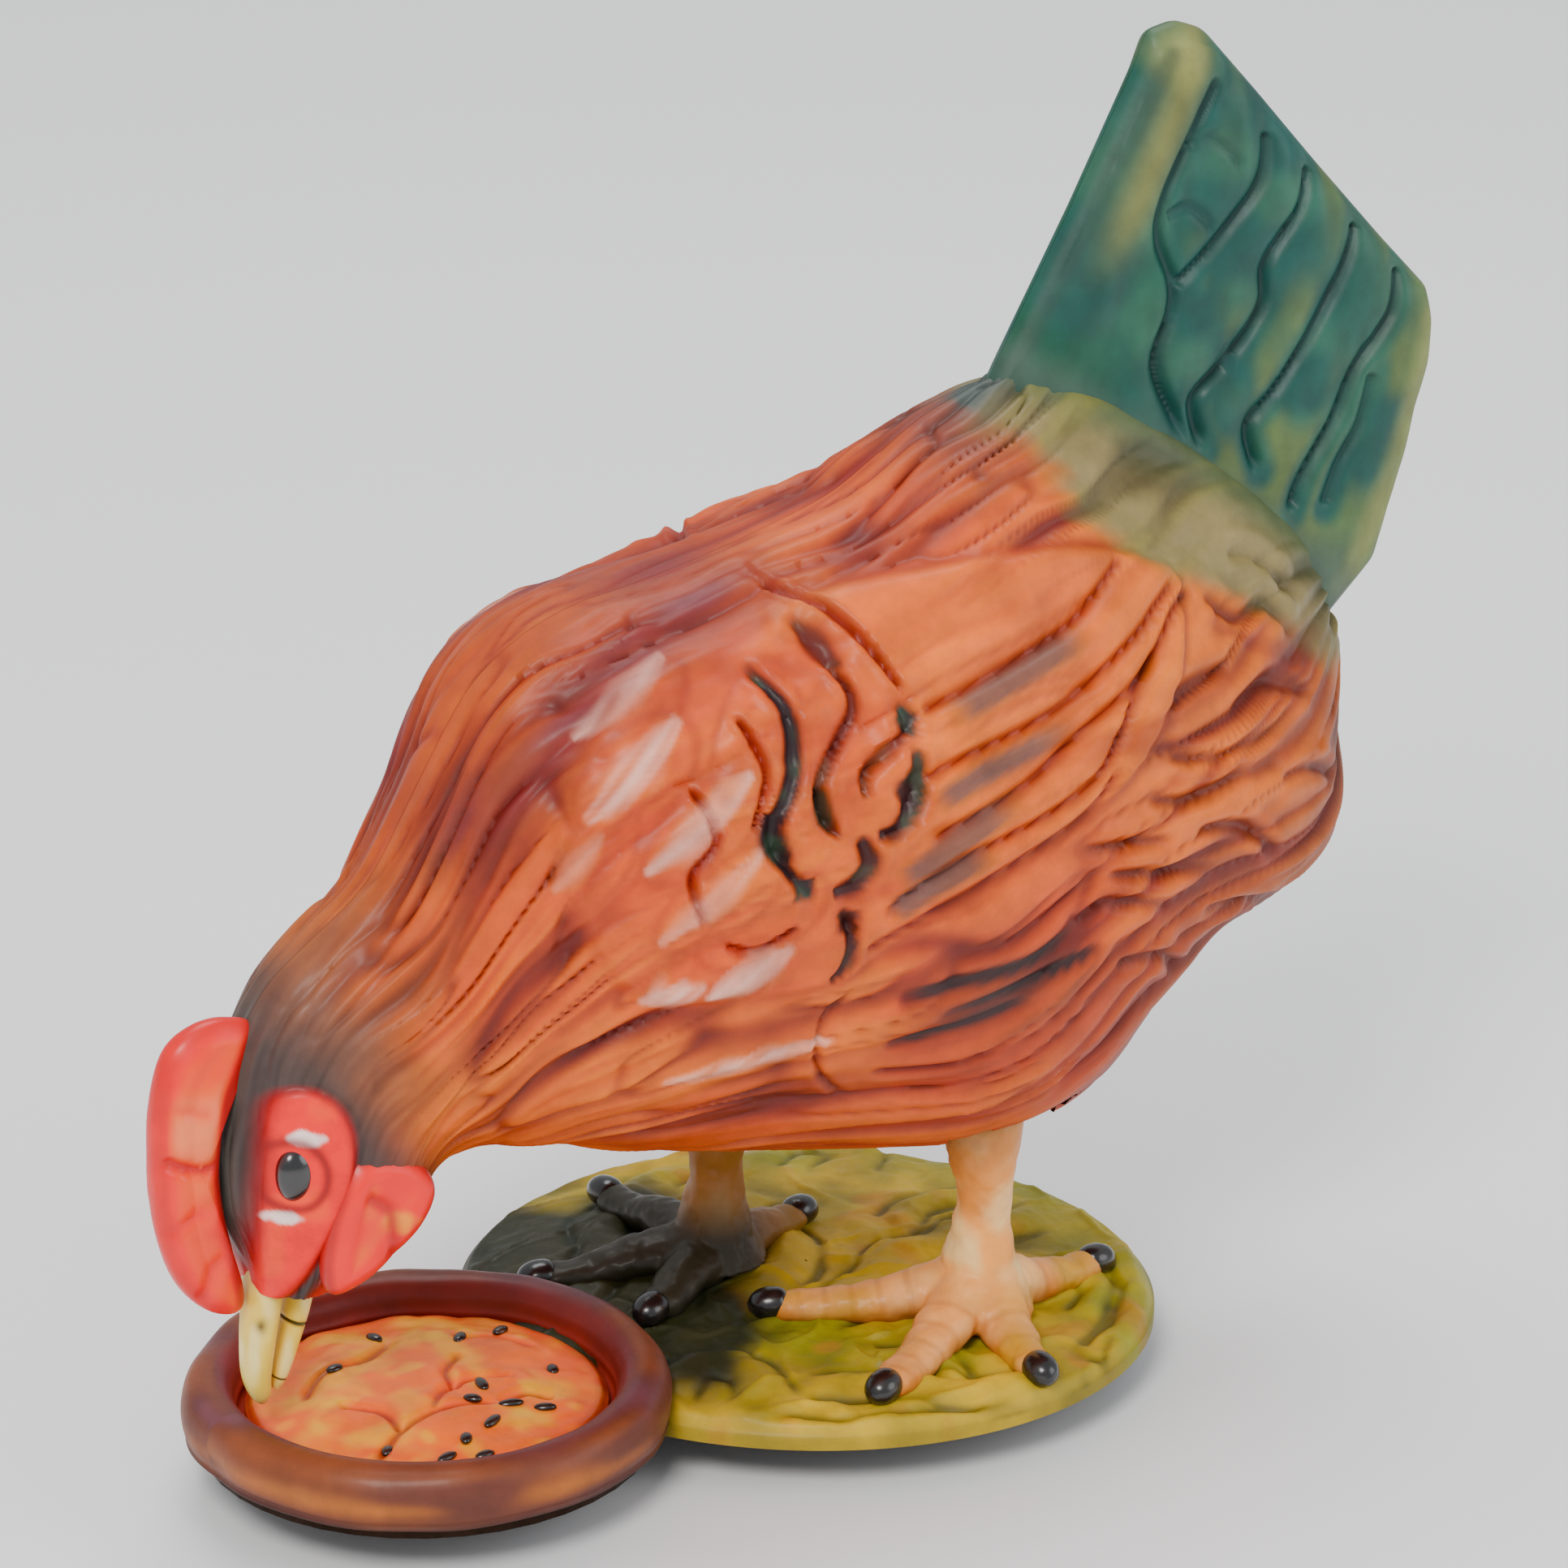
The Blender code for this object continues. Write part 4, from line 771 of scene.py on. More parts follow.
def tail_shell(side, material):
    """Half of the tail with its wavy feathers, closed along the seam."""
    label = side_label(side)
    around, rings = ((420, 84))
    outline = polygon_steps(TAIL_OUTLINE, around)
    stack = ring_stack(outline, TAIL_CENTRE, TAIL_HALF, rings, False, True, 2.0, 1.9)
    for ring in stack:
        ring[:, 1] = side * np.maximum(ring[:, 1], SEAM)
    seam_ring = stack[0].copy()
    seam_ring[:, 1] = side * SEAM
    inner = [seam_ring]
    for share in np.arange(1, 6) / 6:
        flat = seam_ring.copy()
        flat[:, ::2] = TAIL_CENTRE + (flat[:, ::2] - TAIL_CENTRE) * (1 - share)
        inner.append(flat)
    stack[0][:, 1] = side * (SEAM + 0.05)
    points, faces = join_rings(inner[::-1] + stack)
    x, z = points[:, 0], points[:, 2]
    seed = 40 if side < 0 else 47
    outer = (side * points[:, 1] > TAIL_HALF * 0.55).astype(float)
    height, cut, nearest = np.zeros(len(x)), np.zeros(len(x)), np.full(len(x), 99.0)
    for line, strength in TAIL_LINES:
        d, fade = stroke(x, z, line, 0.04, 0.93, 40)
        fade = fade * strength
        height -= 1.25 * fade * bell(d, 0.8)
        cut = np.maximum(cut, fade * bell(d, 0.72))
        if strength > 0.65:
            nearest = np.minimum(nearest, d)
    plain = step(3.5, -2.0, (x - 36) - (z - 118) * 0.44 - 2.0)
    height += (1 - plain) * 0.75 * (1 - bell(nearest, 2.2))
    height += plain * 0.9 * bell((x - 34.5) - (z - 130) * 0.52, 3.4) * step(118, 128, z)
    p = points * (1, 0.3, 1)
    lumps, fine = noise(p, 6, seed), noise(p, (1.6, 2, 3.5), seed + 1)
    height += 0.22 * lumps + 0.10 * fine
    points[:, 1] += side * height * outer
    base = mix(srgb(36, 70, 64), srgb(56, 88, 74), step(-0.4, 0.7, lumps))
    ridge = step(1.2, 3.2, nearest) * (1 - plain)
    base = coats(base, ((104, 112, 70), 0.6 * ridge * step(-0.3, 0.6, noise(p, (5, 5, 9), seed + 2))),
                 ((32, 74, 54), 0.6 * plain * step(-0.3, 0.5, noise(p, 9, seed + 3))))
    # Painted highlight along the rounded roll of the first feather.
    roll_highlight = bell((x - 39) - (z - 140) * 0.5, 2.6) * step(128, 140, z)
    base = mix(base, srgb(122, 120, 82), 0.7 * roll_highlight)
    right_edge = step(4.0, 0.5, line_distance(x, z, [(83, 118), (79, 103), (71, 86)])[0])
    base = mix(base, srgb(140, 142, 96), 0.6 * right_edge)
    tip = step(5.0, 1.0, np.hypot(x - 45, z - 155.5))
    base = coats(base, ((150, 150, 105), 0.6 * tip),
                 ((22, 52, 50), 0.92 * np.clip(cut, 0, 1)))
    left_edge = step(1.6, 0.3, line_distance(x, z, [(23, 120), (44, 156)])[0])
    base = mix(base, srgb(40, 60, 52), 0.5 * left_edge)
    root = step(6.0, 0.5, line_distance(x, z, [(23.5, 120), (70.5, 85)])[0])
    base = mix(base, srgb(70, 84, 76), 0.7 * root)
    base = base * (1 + 0.16 * fine)[:, None]
    return closed_piece("hen_tail_" + label, points, faces, base, material, "hen",
                        ("tail_shell_" + label,), angle=60)


def polygon_steps(outline, count):
    """Equal steps round a closed outline, its corners a little rounded."""
    points = np.array(list(outline) + [outline[0]], float)
    run = np.concatenate([[0], np.cumsum(np.linalg.norm(np.diff(points, axis=0), axis=1))])
    at = np.linspace(0, run[-1], count, endpoint=False)
    ring = np.stack([np.interp(at, run, points[:, k]) for k in (0, 1)], axis=1)
    for _ in range(3):
        ring = 0.5 * ring + 0.25 * (np.roll(ring, 1, axis=0) + np.roll(ring, -1, axis=0))
    return ring


# ---------------------------------------------------------------- comb, wattles, eyes and beak

COMB_OUTLINE = [(-77.0, 57.0), (-80.0, 59.0), (-84.4, 58.8), (-88.0, 56.2), (-89.8, 51.0),
                (-90.4, 44.0), (-90.2, 37.0), (-89.2, 31.5), (-87.2, 26.6), (-83.8, 23.0),
                (-80.4, 22.0), (-79.4, 24.0), (-80.6, 29.0), (-81.8, 36.0), (-82.0, 43.0),
                (-80.8, 50.0)]
COMB_HALF = 3.0
COMB_MIDDLE = (-85.2, 42.0)
COMB_CREASES = [  # points, strength
    ([(-88.6, 43.5), (-85.5, 42.2), (-82.5, 42.4)], 1.0), ([(-88.3, 35), (-86, 36.5), (-83.5, 36.5)], 0.5),
    ([(-87.5, 50), (-85, 49.2), (-83, 49)], 0.5), ([(-85, 26), (-84, 29.5), (-82.2, 31)], 0.5),
]
WATTLE_OUTLINE = [(-69.5, 42.6), (-65.0, 42.8), (-61.0, 40.6), (-59.2, 37.0), (-61.2, 33.0),
                  (-65.0, 29.8), (-69.0, 27.2), (-72.8, 26.6), (-73.6, 31.0), (-72.2, 37.5)]
WATTLE_MIDDLE, WATTLE_Y, WATTLE_HALF = (-67.0, 34.8), 9.6, 2.3
EYE_SIZE = (2.5, 1.8, 3.3)


def comb(material):
    around, rings = ((240, 40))
    outline = closed_curve(COMB_OUTLINE, around)
    points, faces = join_rings(ring_stack(outline, COMB_MIDDLE, COMB_HALF, rings, True, True))
    x, y, z = points[:, 0], points[:, 1], points[:, 2]
    side = np.sign(y)
    height = 0.35 * noise(points * (1, 0.4, 1), 6.5, 61) + 0.12 * noise(points, 2.2, 62)
    cut = np.zeros(len(x))
    for line, strength in COMB_CREASES:
        d, t = line_distance(x, z, line)
        fade = strength * step(1.0, 0.6, t)
        height -= 1.1 * fade * bell(d, 1.0)
        cut = np.maximum(cut, fade * bell(d, 0.8))
    rim = -outline_distance(x, z, outline)
    height += 0.5 * bell(rim - 2.6, 1.5)
    points[:, 1] += side * height * step(0.1, 1.2, np.abs(y))
    lighter_patch = noise(points * (1, 0.4, 1), 7, 63)
    base = mix(srgb(250, 108, 92), srgb(255, 148, 122), step(-0.3, 0.7, lighter_patch))
    base = coats(base, ((204, 36, 50), step(2.6, 0.5, rim)),
                 ((226, 72, 74), 0.5 * step(0.1, 0.7, noise(points, 3.2, 64))),
                 ((160, 22, 36), 0.8 * cut))
    inner, _ = line_distance(x, z, [(-77, 57), (-80.8, 50), (-82, 43), (-81.8, 36), (-79.6, 24)])
    base = mix(base, srgb(150, 22, 34), 0.85 * step(1.9, 0.5, inner))
    return closed_piece("hen_comb", points, faces, base, material, "hen", ("comb",))


def wattle(side, material):
    label = side_label(side)
    around, rings = ((140, 26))
    outline = closed_curve(WATTLE_OUTLINE, around)
    points, faces = join_rings(ring_stack(outline, WATTLE_MIDDLE, WATTLE_HALF, rings, True, True))
    x, z = points[:, 0], points[:, 2]
    outer = side * points[:, 1]
    rim = -outline_distance(x, z, outline)
    crease, _ = line_distance(x, z, [(-68, 38), (-65.5, 35.5), (-65.5, 31)])
    height = 0.3 * noise(points * (1, 0.4, 1), 5, 71) - 0.55 * bell(crease, 0.9)
    height += 0.4 * bell(rim - 2.0, 1.2)
    points[:, 1] += side * height * step(0.0, 1.0, outer)
    # Painted highlight: lighter coral patches in the middle of the lobe, away from its rim.
    lighter_patch = step(1.5, 4.5, rim) * step(-0.4, 0.5, noise(points, 4, 72))
    base = mix(srgb(226, 62, 62), srgb(240, 122, 92), lighter_patch)
    yellow = step(1.3, 0.5, np.hypot((x + 64.5) / 2.4, (z - 34.5) / 1.4) + 0.3 * noise(points, 1.2, 73))
    base = coats(base, ((244, 178, 110), 0.7 * yellow),
                 ((170, 32, 44), 0.8 * bell(crease, 0.8)),
                 ((150, 26, 40), 0.75 * step(1.2, 0.2, rim)))
    points[:, 1] += side * WATTLE_Y
    return closed_piece("hen_wattle_" + label, points, faces, base, material, "hen",
                        ("wattle_" + label,))


def ball_rings(radii, across, up):
    """Rings of a ball's points from its low end to its high end, poles left to join_rings."""
    rings = []
    for lat in np.linspace(-math.pi / 2, math.pi / 2, up + 2)[1:-1]:
        turn = np.linspace(0, 2 * math.pi, across, endpoint=False)
        ring = columns(np.cos(turn) * math.cos(lat), np.sin(turn) * math.cos(lat),
                         0 * turn + math.sin(lat))
        rings.append(ring * radii)
    return rings


def eye(side, depth, material):
    """A domed black eye, its rim sunk into the red of the face, which is depth from the middle plane."""
    label = side_label(side)
    points, faces = join_rings(ball_rings(EYE_SIZE, 48, 30))
    points[:, 0] += 0.25 * np.cos(points[:, 2] / EYE_SIZE[2] * 1.4) - 0.1
    points = points + (EYE[0], side * depth, EYE[1])
    iris = np.hypot((points[:, 0] - EYE[0]) / 2.4, (points[:, 2] - EYE[1]) / 3.2)
    base = mix(srgb(10, 9, 12), srgb(52, 20, 22), step(0.86, 0.98, iris))
    return closed_piece("hen_eye_" + label, points, faces, base, material, "hen",
                        ("eye_" + label,))


def swept(path, count, around, squareness=2.0):
    """Rings along a path of (x, y, z, half width, half height) rows."""
    rows = catmull_rom(path, count)
    centre, wide, tall = rows[:, :3], rows[:, 3], rows[:, 4]
    tangent = np.gradient(centre, axis=0)
    tangent /= np.linalg.norm(tangent, axis=1, keepdims=True)
    side = np.cross(tangent, (0.0, 0.0, 1.0))
    weak = np.linalg.norm(side, axis=1) < 0.25
    side[weak] = np.cross(tangent[weak], (1.0, 0.0, 0.0))
    side /= np.linalg.norm(side, axis=1, keepdims=True)
    up = np.cross(side, tangent)
    turn = np.linspace(0, 2 * math.pi, around, endpoint=False)
    c = np.sign(np.cos(turn)) * np.abs(np.cos(turn)) ** (2 / squareness)
    s = np.sign(np.sin(turn)) * np.abs(np.sin(turn)) ** (2 / squareness)
    return [centre[k] + c[:, None] * side[k] * wide[k] + s[:, None] * up[k] * tall[k]
            for k in range(count)]


UPPER_BEAK = [(-76.0, 0, 29.0, 3.5, 1.9), (-76.9, 0, 23.5, 3.5, 2.0), (-77.6, 0, 17.8, 2.9, 1.8),
              (-77.9, 0, 13.6, 2.3, 1.6), (-77.5, 0, 10.9, 1.7, 1.2), (-77.1, 0, 9.6, 0.6, 0.5)]
LOWER_BEAK = [(-71.6, 0, 28.0, 3.1, 1.3), (-72.4, 0, 23.0, 3.1, 1.4), (-73.9, 0, 17.0, 2.3, 1.2),
              (-75.0, 0, 13.0, 1.6, 0.9), (-75.5, 0, 11.0, 0.6, 0.4)]


def beak(name, path, node_name, material, nostrils):
    """One half of the beak: a curved, tapering horn."""
    count, around = ((60, 64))
    points, faces = join_rings(swept(path, count, around, squareness=2.3))
    x, y, z = points[:, 0], points[:, 1], points[:, 2]
    if nostrils:
        for side in (-1, 1):
            r = np.hypot((z - 20.6) / 1.5, (x + 78.0) / 0.9) + (side * y < 1.0) * 9
            points[:, 1] -= side * 0.5 * np.exp(-r**2)
    mottle = noise(points, (1.4, 1.4, 3.0), 81)
    base = mix(srgb(232, 206, 132), srgb(244, 226, 170), step(-0.3, 0.7, mottle))
    base = coats(base, ((196, 150, 82), 0.5 * step(24, 29, z)),
                 ((214, 190, 140), step(12.5, 10, z) * 0.6))
    if nostrils:
        hole = np.exp(-(np.hypot((z - 20.6) / 1.1, (x + 78.2) / 0.7) / 0.8) ** 2) * (np.abs(y) > 1.2)
        base = mix(base, srgb(70, 44, 30), 0.9 * hole)
    return closed_piece(name, points, faces, base, material, "hen", (node_name,))


# ---------------------------------------------------------------- base, bowl and feed

def base_radius(angle):
    return BASE_RADIUS + BASE_STRETCH * np.cos(2 * (angle + math.pi / 4))


def base_share(x, y):
    """How far out on the base a point is: 0 in the middle, 1 at the rim."""
    dx, dy = x - BASE_CENTRE[0], y - BASE_CENTRE[1]
    return np.hypot(dx, dy) / base_radius(np.arctan2(dy, dx))


def ground_height(x, y):
    """The smooth ground: a low mound, higher under the far foot."""
    dx, dy = x - BASE_CENTRE[0], y - BASE_CENTRE[1]
    mound = np.exp(-((dx + 12) ** 2 + (dy - 14) ** 2) / 260)
    return BASE_RIM_Z + 2.0 * (1 - base_share(x, y) ** 4) + 1.8 * mound


def height_at(x, y):
    return float(ground_height(np.array(x), np.array(y)))


FOLDS = [  # ropes of moss winding over the ground: points (x, y) and half width
    ([(-26, -24), (-14, -31), (-2, -34), (12, -38), (24, -34)], 2.6),
    ([(-14, -18), (-4, -24), (6, -30), (14, -31)], 2.2), ([(22, -28), (30, -22), (36, -14), (40, -4)], 2.4),
    ([(24, -20), (30, -14), (28, -6), (22, -4)], 2.0), ([(-30, -12), (-24, -8), (-18, -12), (-20, -20)], 2.4),
    ([(-6, -6), (4, 0), (14, 6), (26, 8), (36, 8)], 2.6),
    ([(-16, 2), (-6, 6), (2, 14), (0, 24), (8, 30)], 2.6),
    ([(16, 14), (24, 18), (32, 18)], 2.2), ([(10, 38), (18, 44), (26, 38), (20, 30)], 2.6),
    ([(-30, 16), (-22, 20), (-16, 30), (-6, 38), (4, 44)], 2.8), ([(-4, -16), (2, -20), (2, -26)], 1.8),
    ([(-38, -4), (-34, 6), (-36, 16)], 2.4), ([(28, -26), (22, -32), (18, -28)], 1.8),
]


def base_top(material):
    """The moulded ground: a low mound with scrolls of moss, turned down at its rim."""
    rings, around = ((190, 520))
    turn = np.linspace(0, 2 * math.pi, around, endpoint=False)
    q = np.linspace(0.004, 1.0, rings)[:, None]
    radius = (base_radius(turn)[None, :] - BASE_CLEARANCE) * q
    x = BASE_CENTRE[0] + radius * np.cos(turn)
    y = BASE_CENTRE[1] + radius * np.sin(turn)
    z = ground_height(x, y)
    flat = columns(x, y, 0 * x)
    swell = noise(flat, 7.0, 91)
    height = 0.55 * swell + 0.22 * noise(flat, 2.4, 92) + 0.07 * noise(flat, 0.9, 93)
    fold_gap_shade = np.zeros_like(x)
    wander = flat + 1.6 * columns(noise(flat, 6, 94), noise(flat, 6, 99), 0 * x)
    for line, half in FOLDS:
        d, fade = stroke(wander[..., 0], wander[..., 1], line, 0.12, 0.85)
        height += fade * 0.95 * bell(d, half)
        beside = bell(d - 1.45 * half, 0.8)
        height -= fade * 0.5 * beside
        fold_gap_shade = np.maximum(fold_gap_shade, fade * beside)
    ridge = np.abs(noise(wander, (9, 5, 9), 100))
    height += 0.5 * bell(ridge, 0.16)
    height *= step(1.0, 0.94, q + 0 * x)
    z = np.maximum(z + height, 1.9)
    z = z - 1.2 * step(0.965, 1.0, q + 0 * x) ** 2
    sheet = columns(x, y, z)
    wall = [sheet[-1] * (1, 1, 1 - share) for share in (0.35, 0.7, 1.0)]
    inner = wall[-1].copy()
    inner[:, :2] = np.asarray(BASE_CENTRE) + (inner[:, :2] - BASE_CENTRE) * 0.985
    inside_top = inner + (0, 0, 0.9)
    rows = list(sheet) + wall + [inner, inside_top]
    points = np.concatenate(rows)
    faces = grid_faces(len(rows), around, closed=True)
    px, py = points[:, 0], points[:, 1]
    flat_all = columns(px, py, 0 * px)
    tint = noise(flat_all, 9, 95) + 0.5 * noise(flat_all, 3.5, 96)
    base = mix(srgb(152, 136, 60), srgb(206, 178, 84), step(-0.5, 0.7, tint))
    base = coats(base, ((112, 128, 66), 0.55 * step(0.1, 0.8, noise(flat_all, 12, 97))),
                 ((120, 132, 70), 0.5 * step(20, 38, px)))
    gold = step(0.35, 0.8, noise(flat_all, 4.2, 98))
    base = mix(base, srgb(190, 132, 60), 0.45 * gold)
    # Painted shade in the moss's hollows and in the gaps beside its folds.
    low = np.concatenate([np.clip(-(height.ravel()) * 1.1, 0, 1) + 0.6 * fold_gap_shade.ravel(),
                          np.zeros(len(points) - rings * around)])
    base = mix(base, srgb(50, 54, 34), 0.72 * np.clip(low, 0, 1))
    shade = step(1.35, 0.9, np.hypot((px + 26) / 20, (py - 18) / 29) + 0.25 * noise(flat_all, 6, 90))
    base = coats(base, ((18, 28, 20), 0.96 * shade),
                 ((70, 66, 38), 0.6 * step(0.97, 1.0, base_share(px, py))))
    mesh = make_mesh("moss_base", points, faces, base)
    return piece("moss_base", mesh, material, "base", ("base_shell",), angle=50)


BOWL_PROFILE = [(0.0, 1.4), (14.0, 1.4), (27.2, 1.4), (28.5, 2.4), (29.0, 4.3), (28.9, 6.3), (27.9, 8.0),
                (26.0, 8.8), (24.2, 8.4), (23.1, 7.0), (22.5, 5.0), (21.0, 3.2), (10.0, 2.6), (0.0, 2.6)]


def bowl_rings(count, around):
    """Rings of the bowl's profile turned about its centre, a little uneven."""
    rows = catmull_rom(BOWL_PROFILE, count)
    turn = np.linspace(0, 2 * math.pi, around, endpoint=False)
    rings = []
    for r, z in rows:
        r = max(r, 0.02)
        spot = columns(np.cos(turn) * 3, np.sin(turn) * 3, 0 * turn + z * 0.02)
        w = 0.45 * noise(spot, 1.0, 101) * step(8, 20, np.array(r))
        rings.append(columns(BOWL_CENTRE[0] + (r + w) * np.cos(turn),
                               BOWL_CENTRE[1] + (r + w) * np.sin(turn),
                               z + 0.55 * w * step(3, 8, np.array(z))))
    return rings


def bowl(material):
    """A low dish with a fat rolled rim, as one closed skin."""
    around, count = ((320, 150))
    points, faces = join_rings(bowl_rings(count, around))
    x, y, z = points[:, 0] - BOWL_CENTRE[0], points[:, 1] - BOWL_CENTRE[1], points[:, 2]
    r = np.hypot(x, y)
    stretched = columns(np.arctan2(y, x) * 26, r, z)
    dab = noise(stretched, (9, 2.2, 2.2), 102)
    dents = noise(columns(x, y, z), 5.5, 103)
    out = columns(x / np.maximum(r, 1), y / np.maximum(r, 1), 0.4 + 0 * z)
    points += out * (0.28 * dents * step(20, 25, r))[:, None]
    base = mix(srgb(92, 54, 46), srgb(122, 74, 56), step(-0.3, 0.8, dab))
    # Painted highlight: a lighter band round the widest part of the rim, strongest on its front.
    front = step(0.2, 0.9, (-y * 0.93 - x * 0.30) / np.maximum(r, 1))
    band = bell(z - 4.6, 1.3) * step(27.0, 28.4, r)
    base = coats(base, ((172, 112, 78), 0.85 * band * (0.35 + 0.65 * front) * step(-0.5, 0.3, dab)),
                 ((104, 70, 84), 0.55 * step(6.8, 8.4, z) * step(-0.2, 0.6, -dab)),
                 ((104, 40, 38), 0.85 * step(25.6, 23.6, r) * step(1.5, 3.0, z)),
                 ((36, 24, 26), 0.75 * step(2.8, 1.4, z)),
                 ((150, 62, 34), 0.5 * step(23.6, 22.4, r) * step(6.5, 4.5, z)))
    return closed_piece("feed_bowl", points, faces, base, material, "base", ("bowl",))


FEED_LUMPS = [  # x and y from the bowl's centre, size, height
    (-9, 8, 7, 1.2), (6, 10, 6, 1.0), (-3, -9, 7, 1.1), (9, -5, 6, 0.9), (-13, -2, 5, 0.8),
    (1, 1, 6, 1.0), (13, 4, 4.5, 0.8), (-5, 15, 4.5, 0.6), (4, -14, 4.5, 0.6),
]
SEEDS = [  # x, y, turn, length
    (-61.5, -16.5, 20, 1.5), (-58, -14.5, 60, 1.3), (-53.5, -12.5, 35, 1.7), (-49.5, -9.5, -15, 1.6),
    (-46.0, -11.5, -25, 1.4), (-50.5, -4.0, 80, 1.6), (-53.0, -6.5, 130, 1.2), (-57.5, -18.3, 5, 1.3),
    (-66.5, -11.0, 50, 1.2), (-40.5, -3.0, 70, 1.2), (-64, 8, 15, 1.2), (-47, 8.5, 45, 1.3),
    (-55.5, 14.5, 110, 1.2), (-41, 9.5, 20, 1.2),
]


FEED_CREASES = [
    [(-14, -14), (-8, -9), (-1, -7), (5, -9)], [(-3, -7), (1, -3), (6, -2), (10, -4)],
    [(2, -4), (3, 1), (7, 5)], [(-15, 3), (-10, 8), (-4, 9), (2, 13)], [(5, -9), (9, -8), (12, -10)],
    [(-8, -9), (-8, -4), (-12, 0)], [(8, 9), (13, 8), (16, 3)],
]


def feed_height(x, y):
    """The lumpy top of the feed, x and y from the bowl's centre."""
    r = np.hypot(x, y)
    z = 6.0 - 0.9 * (r / 21.0) ** 2
    for cx, cy, size, tall in FEED_LUMPS:
        z = z + tall * hump(x, y, (cx, cy), (size, size))
    spot = columns(x, y, 0 * x)
    z = z + 0.35 * noise(spot, 3.4, 111) + 0.12 * noise(spot, 1.3, 112)
    for line in FEED_CREASES:
        d, fade = stroke(x, y, line, 0.15, 0.85)
        z = z - 0.8 * fade * bell(d, 0.8)
    return z


def feed(material):
    """The heap of feed: a lumpy top, turned down at its edge and closed underneath."""
    rings, around = ((150, 300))
    turn = np.linspace(0, 2 * math.pi, around, endpoint=False)
    radius = np.linspace(0.05, FEED_RADIUS, rings)[:, None] + 0 * turn
    x, y = radius * np.cos(turn), radius * np.sin(turn)
    z = feed_height(x, y) - 0.7 * step(FEED_RADIUS - 1, FEED_RADIUS, radius)
    top = [columns(BOWL_CENTRE[0] + x[k], BOWL_CENTRE[1] + y[k], z[k]) for k in range(rings)]
    foot = top[-1].copy()
    foot[:, 2] = 3.6
    under = foot.copy()
    under[:, :2] = np.asarray(BOWL_CENTRE) + (under[:, :2] - BOWL_CENTRE) * 0.3
    points, faces = join_rings(top + [foot, under])
    px, py, pz = points[:, 0] - BOWL_CENTRE[0], points[:, 1] - BOWL_CENTRE[1], points[:, 2]
    flat = columns(px, py, 0 * px)
    warm = noise(flat, 5, 113) + 0.5 * noise(flat, 2, 114)
    base = mix(srgb(255, 134, 4), srgb(255, 178, 24), step(-0.4, 0.7, warm))
    pale = step(0.45, 0.9, noise(flat, 3.2, 115))
    base = mix(base, srgb(255, 206, 90), 0.45 * pale)
    # Painted shade: darker in the low parts of the heap, in its creases and round its edge against the bowl.
    hollow_shade = np.clip((5.9 - pz) / 1.2, 0, 1)
    base = mix(base, srgb(176, 74, 32), 0.7 * hollow_shade)
    crease = np.zeros(len(px))
    for line in FEED_CREASES:
        d, fade = stroke(px, py, line, 0.15, 0.85)
        crease = np.maximum(crease, fade * bell(d, 0.55))
    base = mix(base, srgb(120, 40, 18), 0.75 * crease)
    edge = step(19.5, 21.5, np.hypot(px, py))
    base = mix(base, srgb(120, 50, 30), 0.8 * edge)
    return closed_piece("feed_heap", points, faces, base, material, "base", ("feed",))


def seeds(material):
    """Dark seeds pressed into the feed, all one piece."""
    parts = []
    for x, y, tilt, length in SEEDS:
        grain, faces = join_rings(ball_rings((length, 0.75, 0.5), 14, 7))
        c, s = math.cos(math.radians(tilt)), math.sin(math.radians(tilt))
        turned = grain @ np.array([[c, s, 0], [-s, c, 0], [0, 0, 1]])
        z = float(feed_height(np.array(x - BOWL_CENTRE[0]), np.array(y - BOWL_CENTRE[1])))
        parts.append((turned + (x, y, z + 0.12), faces))
    points, faces = merged(parts)
    shade = mix(srgb(26, 20, 18), srgb(70, 50, 40), step(0.2, 0.9, noise(points, 1.0, 117)))
    return closed_piece("feed_seeds", points, faces, shade, material, "base")


# ---------------------------------------------------------------- legs

def toe_rays(label):
    """For each toe of a foot: its tip, the way it points, its length and the ground's height near its tip."""
    fx, fy = FOOT[label]
    for tx, ty in TOES[label]:
        reach = math.hypot(tx - fx, ty - fy)
        ux, uy = (tx - fx) / reach, (ty - fy) / reach
        yield tx, ty, ux, uy, reach, height_at(tx - ux * 5, ty - uy * 5)


def leg_paths(label):
    """Rows of (x, y, z, half width, half height) for the shank and each toe."""
    fx, fy = FOOT[label]
    side_y = STRAP_Y[label]
    shank = [(fx, fy, height_at(fx, fy) + 0.6, 7.2, 6.6), (fx, fy, 7.6, 6.4, 6.0), (fx, fy, 12.0, 4.6, 4.5),
             (fx + 0.2, (fy + side_y) / 2, 18.0, 3.3, 3.4), (fx + 0.1, side_y, 23.0, 3.6, 3.7),
             (fx, side_y, 27.5, 4.5, 4.6), (fx, side_y, 31.0, 4.4, 4.6), (fx, side_y, 33.0, 2.0, 2.2)]
    toes = []
    for tx, ty, ux, uy, reach, tip_z in toe_rays(label):
        kx, ky = fx + ux * reach * 0.45, fy + uy * reach * 0.45
        toes.append([(fx - ux * 1.0, fy - uy * 1.0, 9.6, 4.0, 4.0),
                     (fx + ux * reach * 0.2, fy + uy * reach * 0.2, 7.6, 4.1, 3.4),
                     (kx, ky, height_at(kx, ky) + 1.5, 3.3, 2.6),
                     (fx + ux * reach * 0.68, fy + uy * reach * 0.68, tip_z + 1.0, 2.7, 2.1),
                     (tx - ux * 3.2, ty - uy * 3.2, tip_z + 0.9, 2.5, 1.9),
                     (tx - ux * 1.4, ty - uy * 1.4, tip_z + 0.8, 1.3, 1.1)])
    return shank, toes


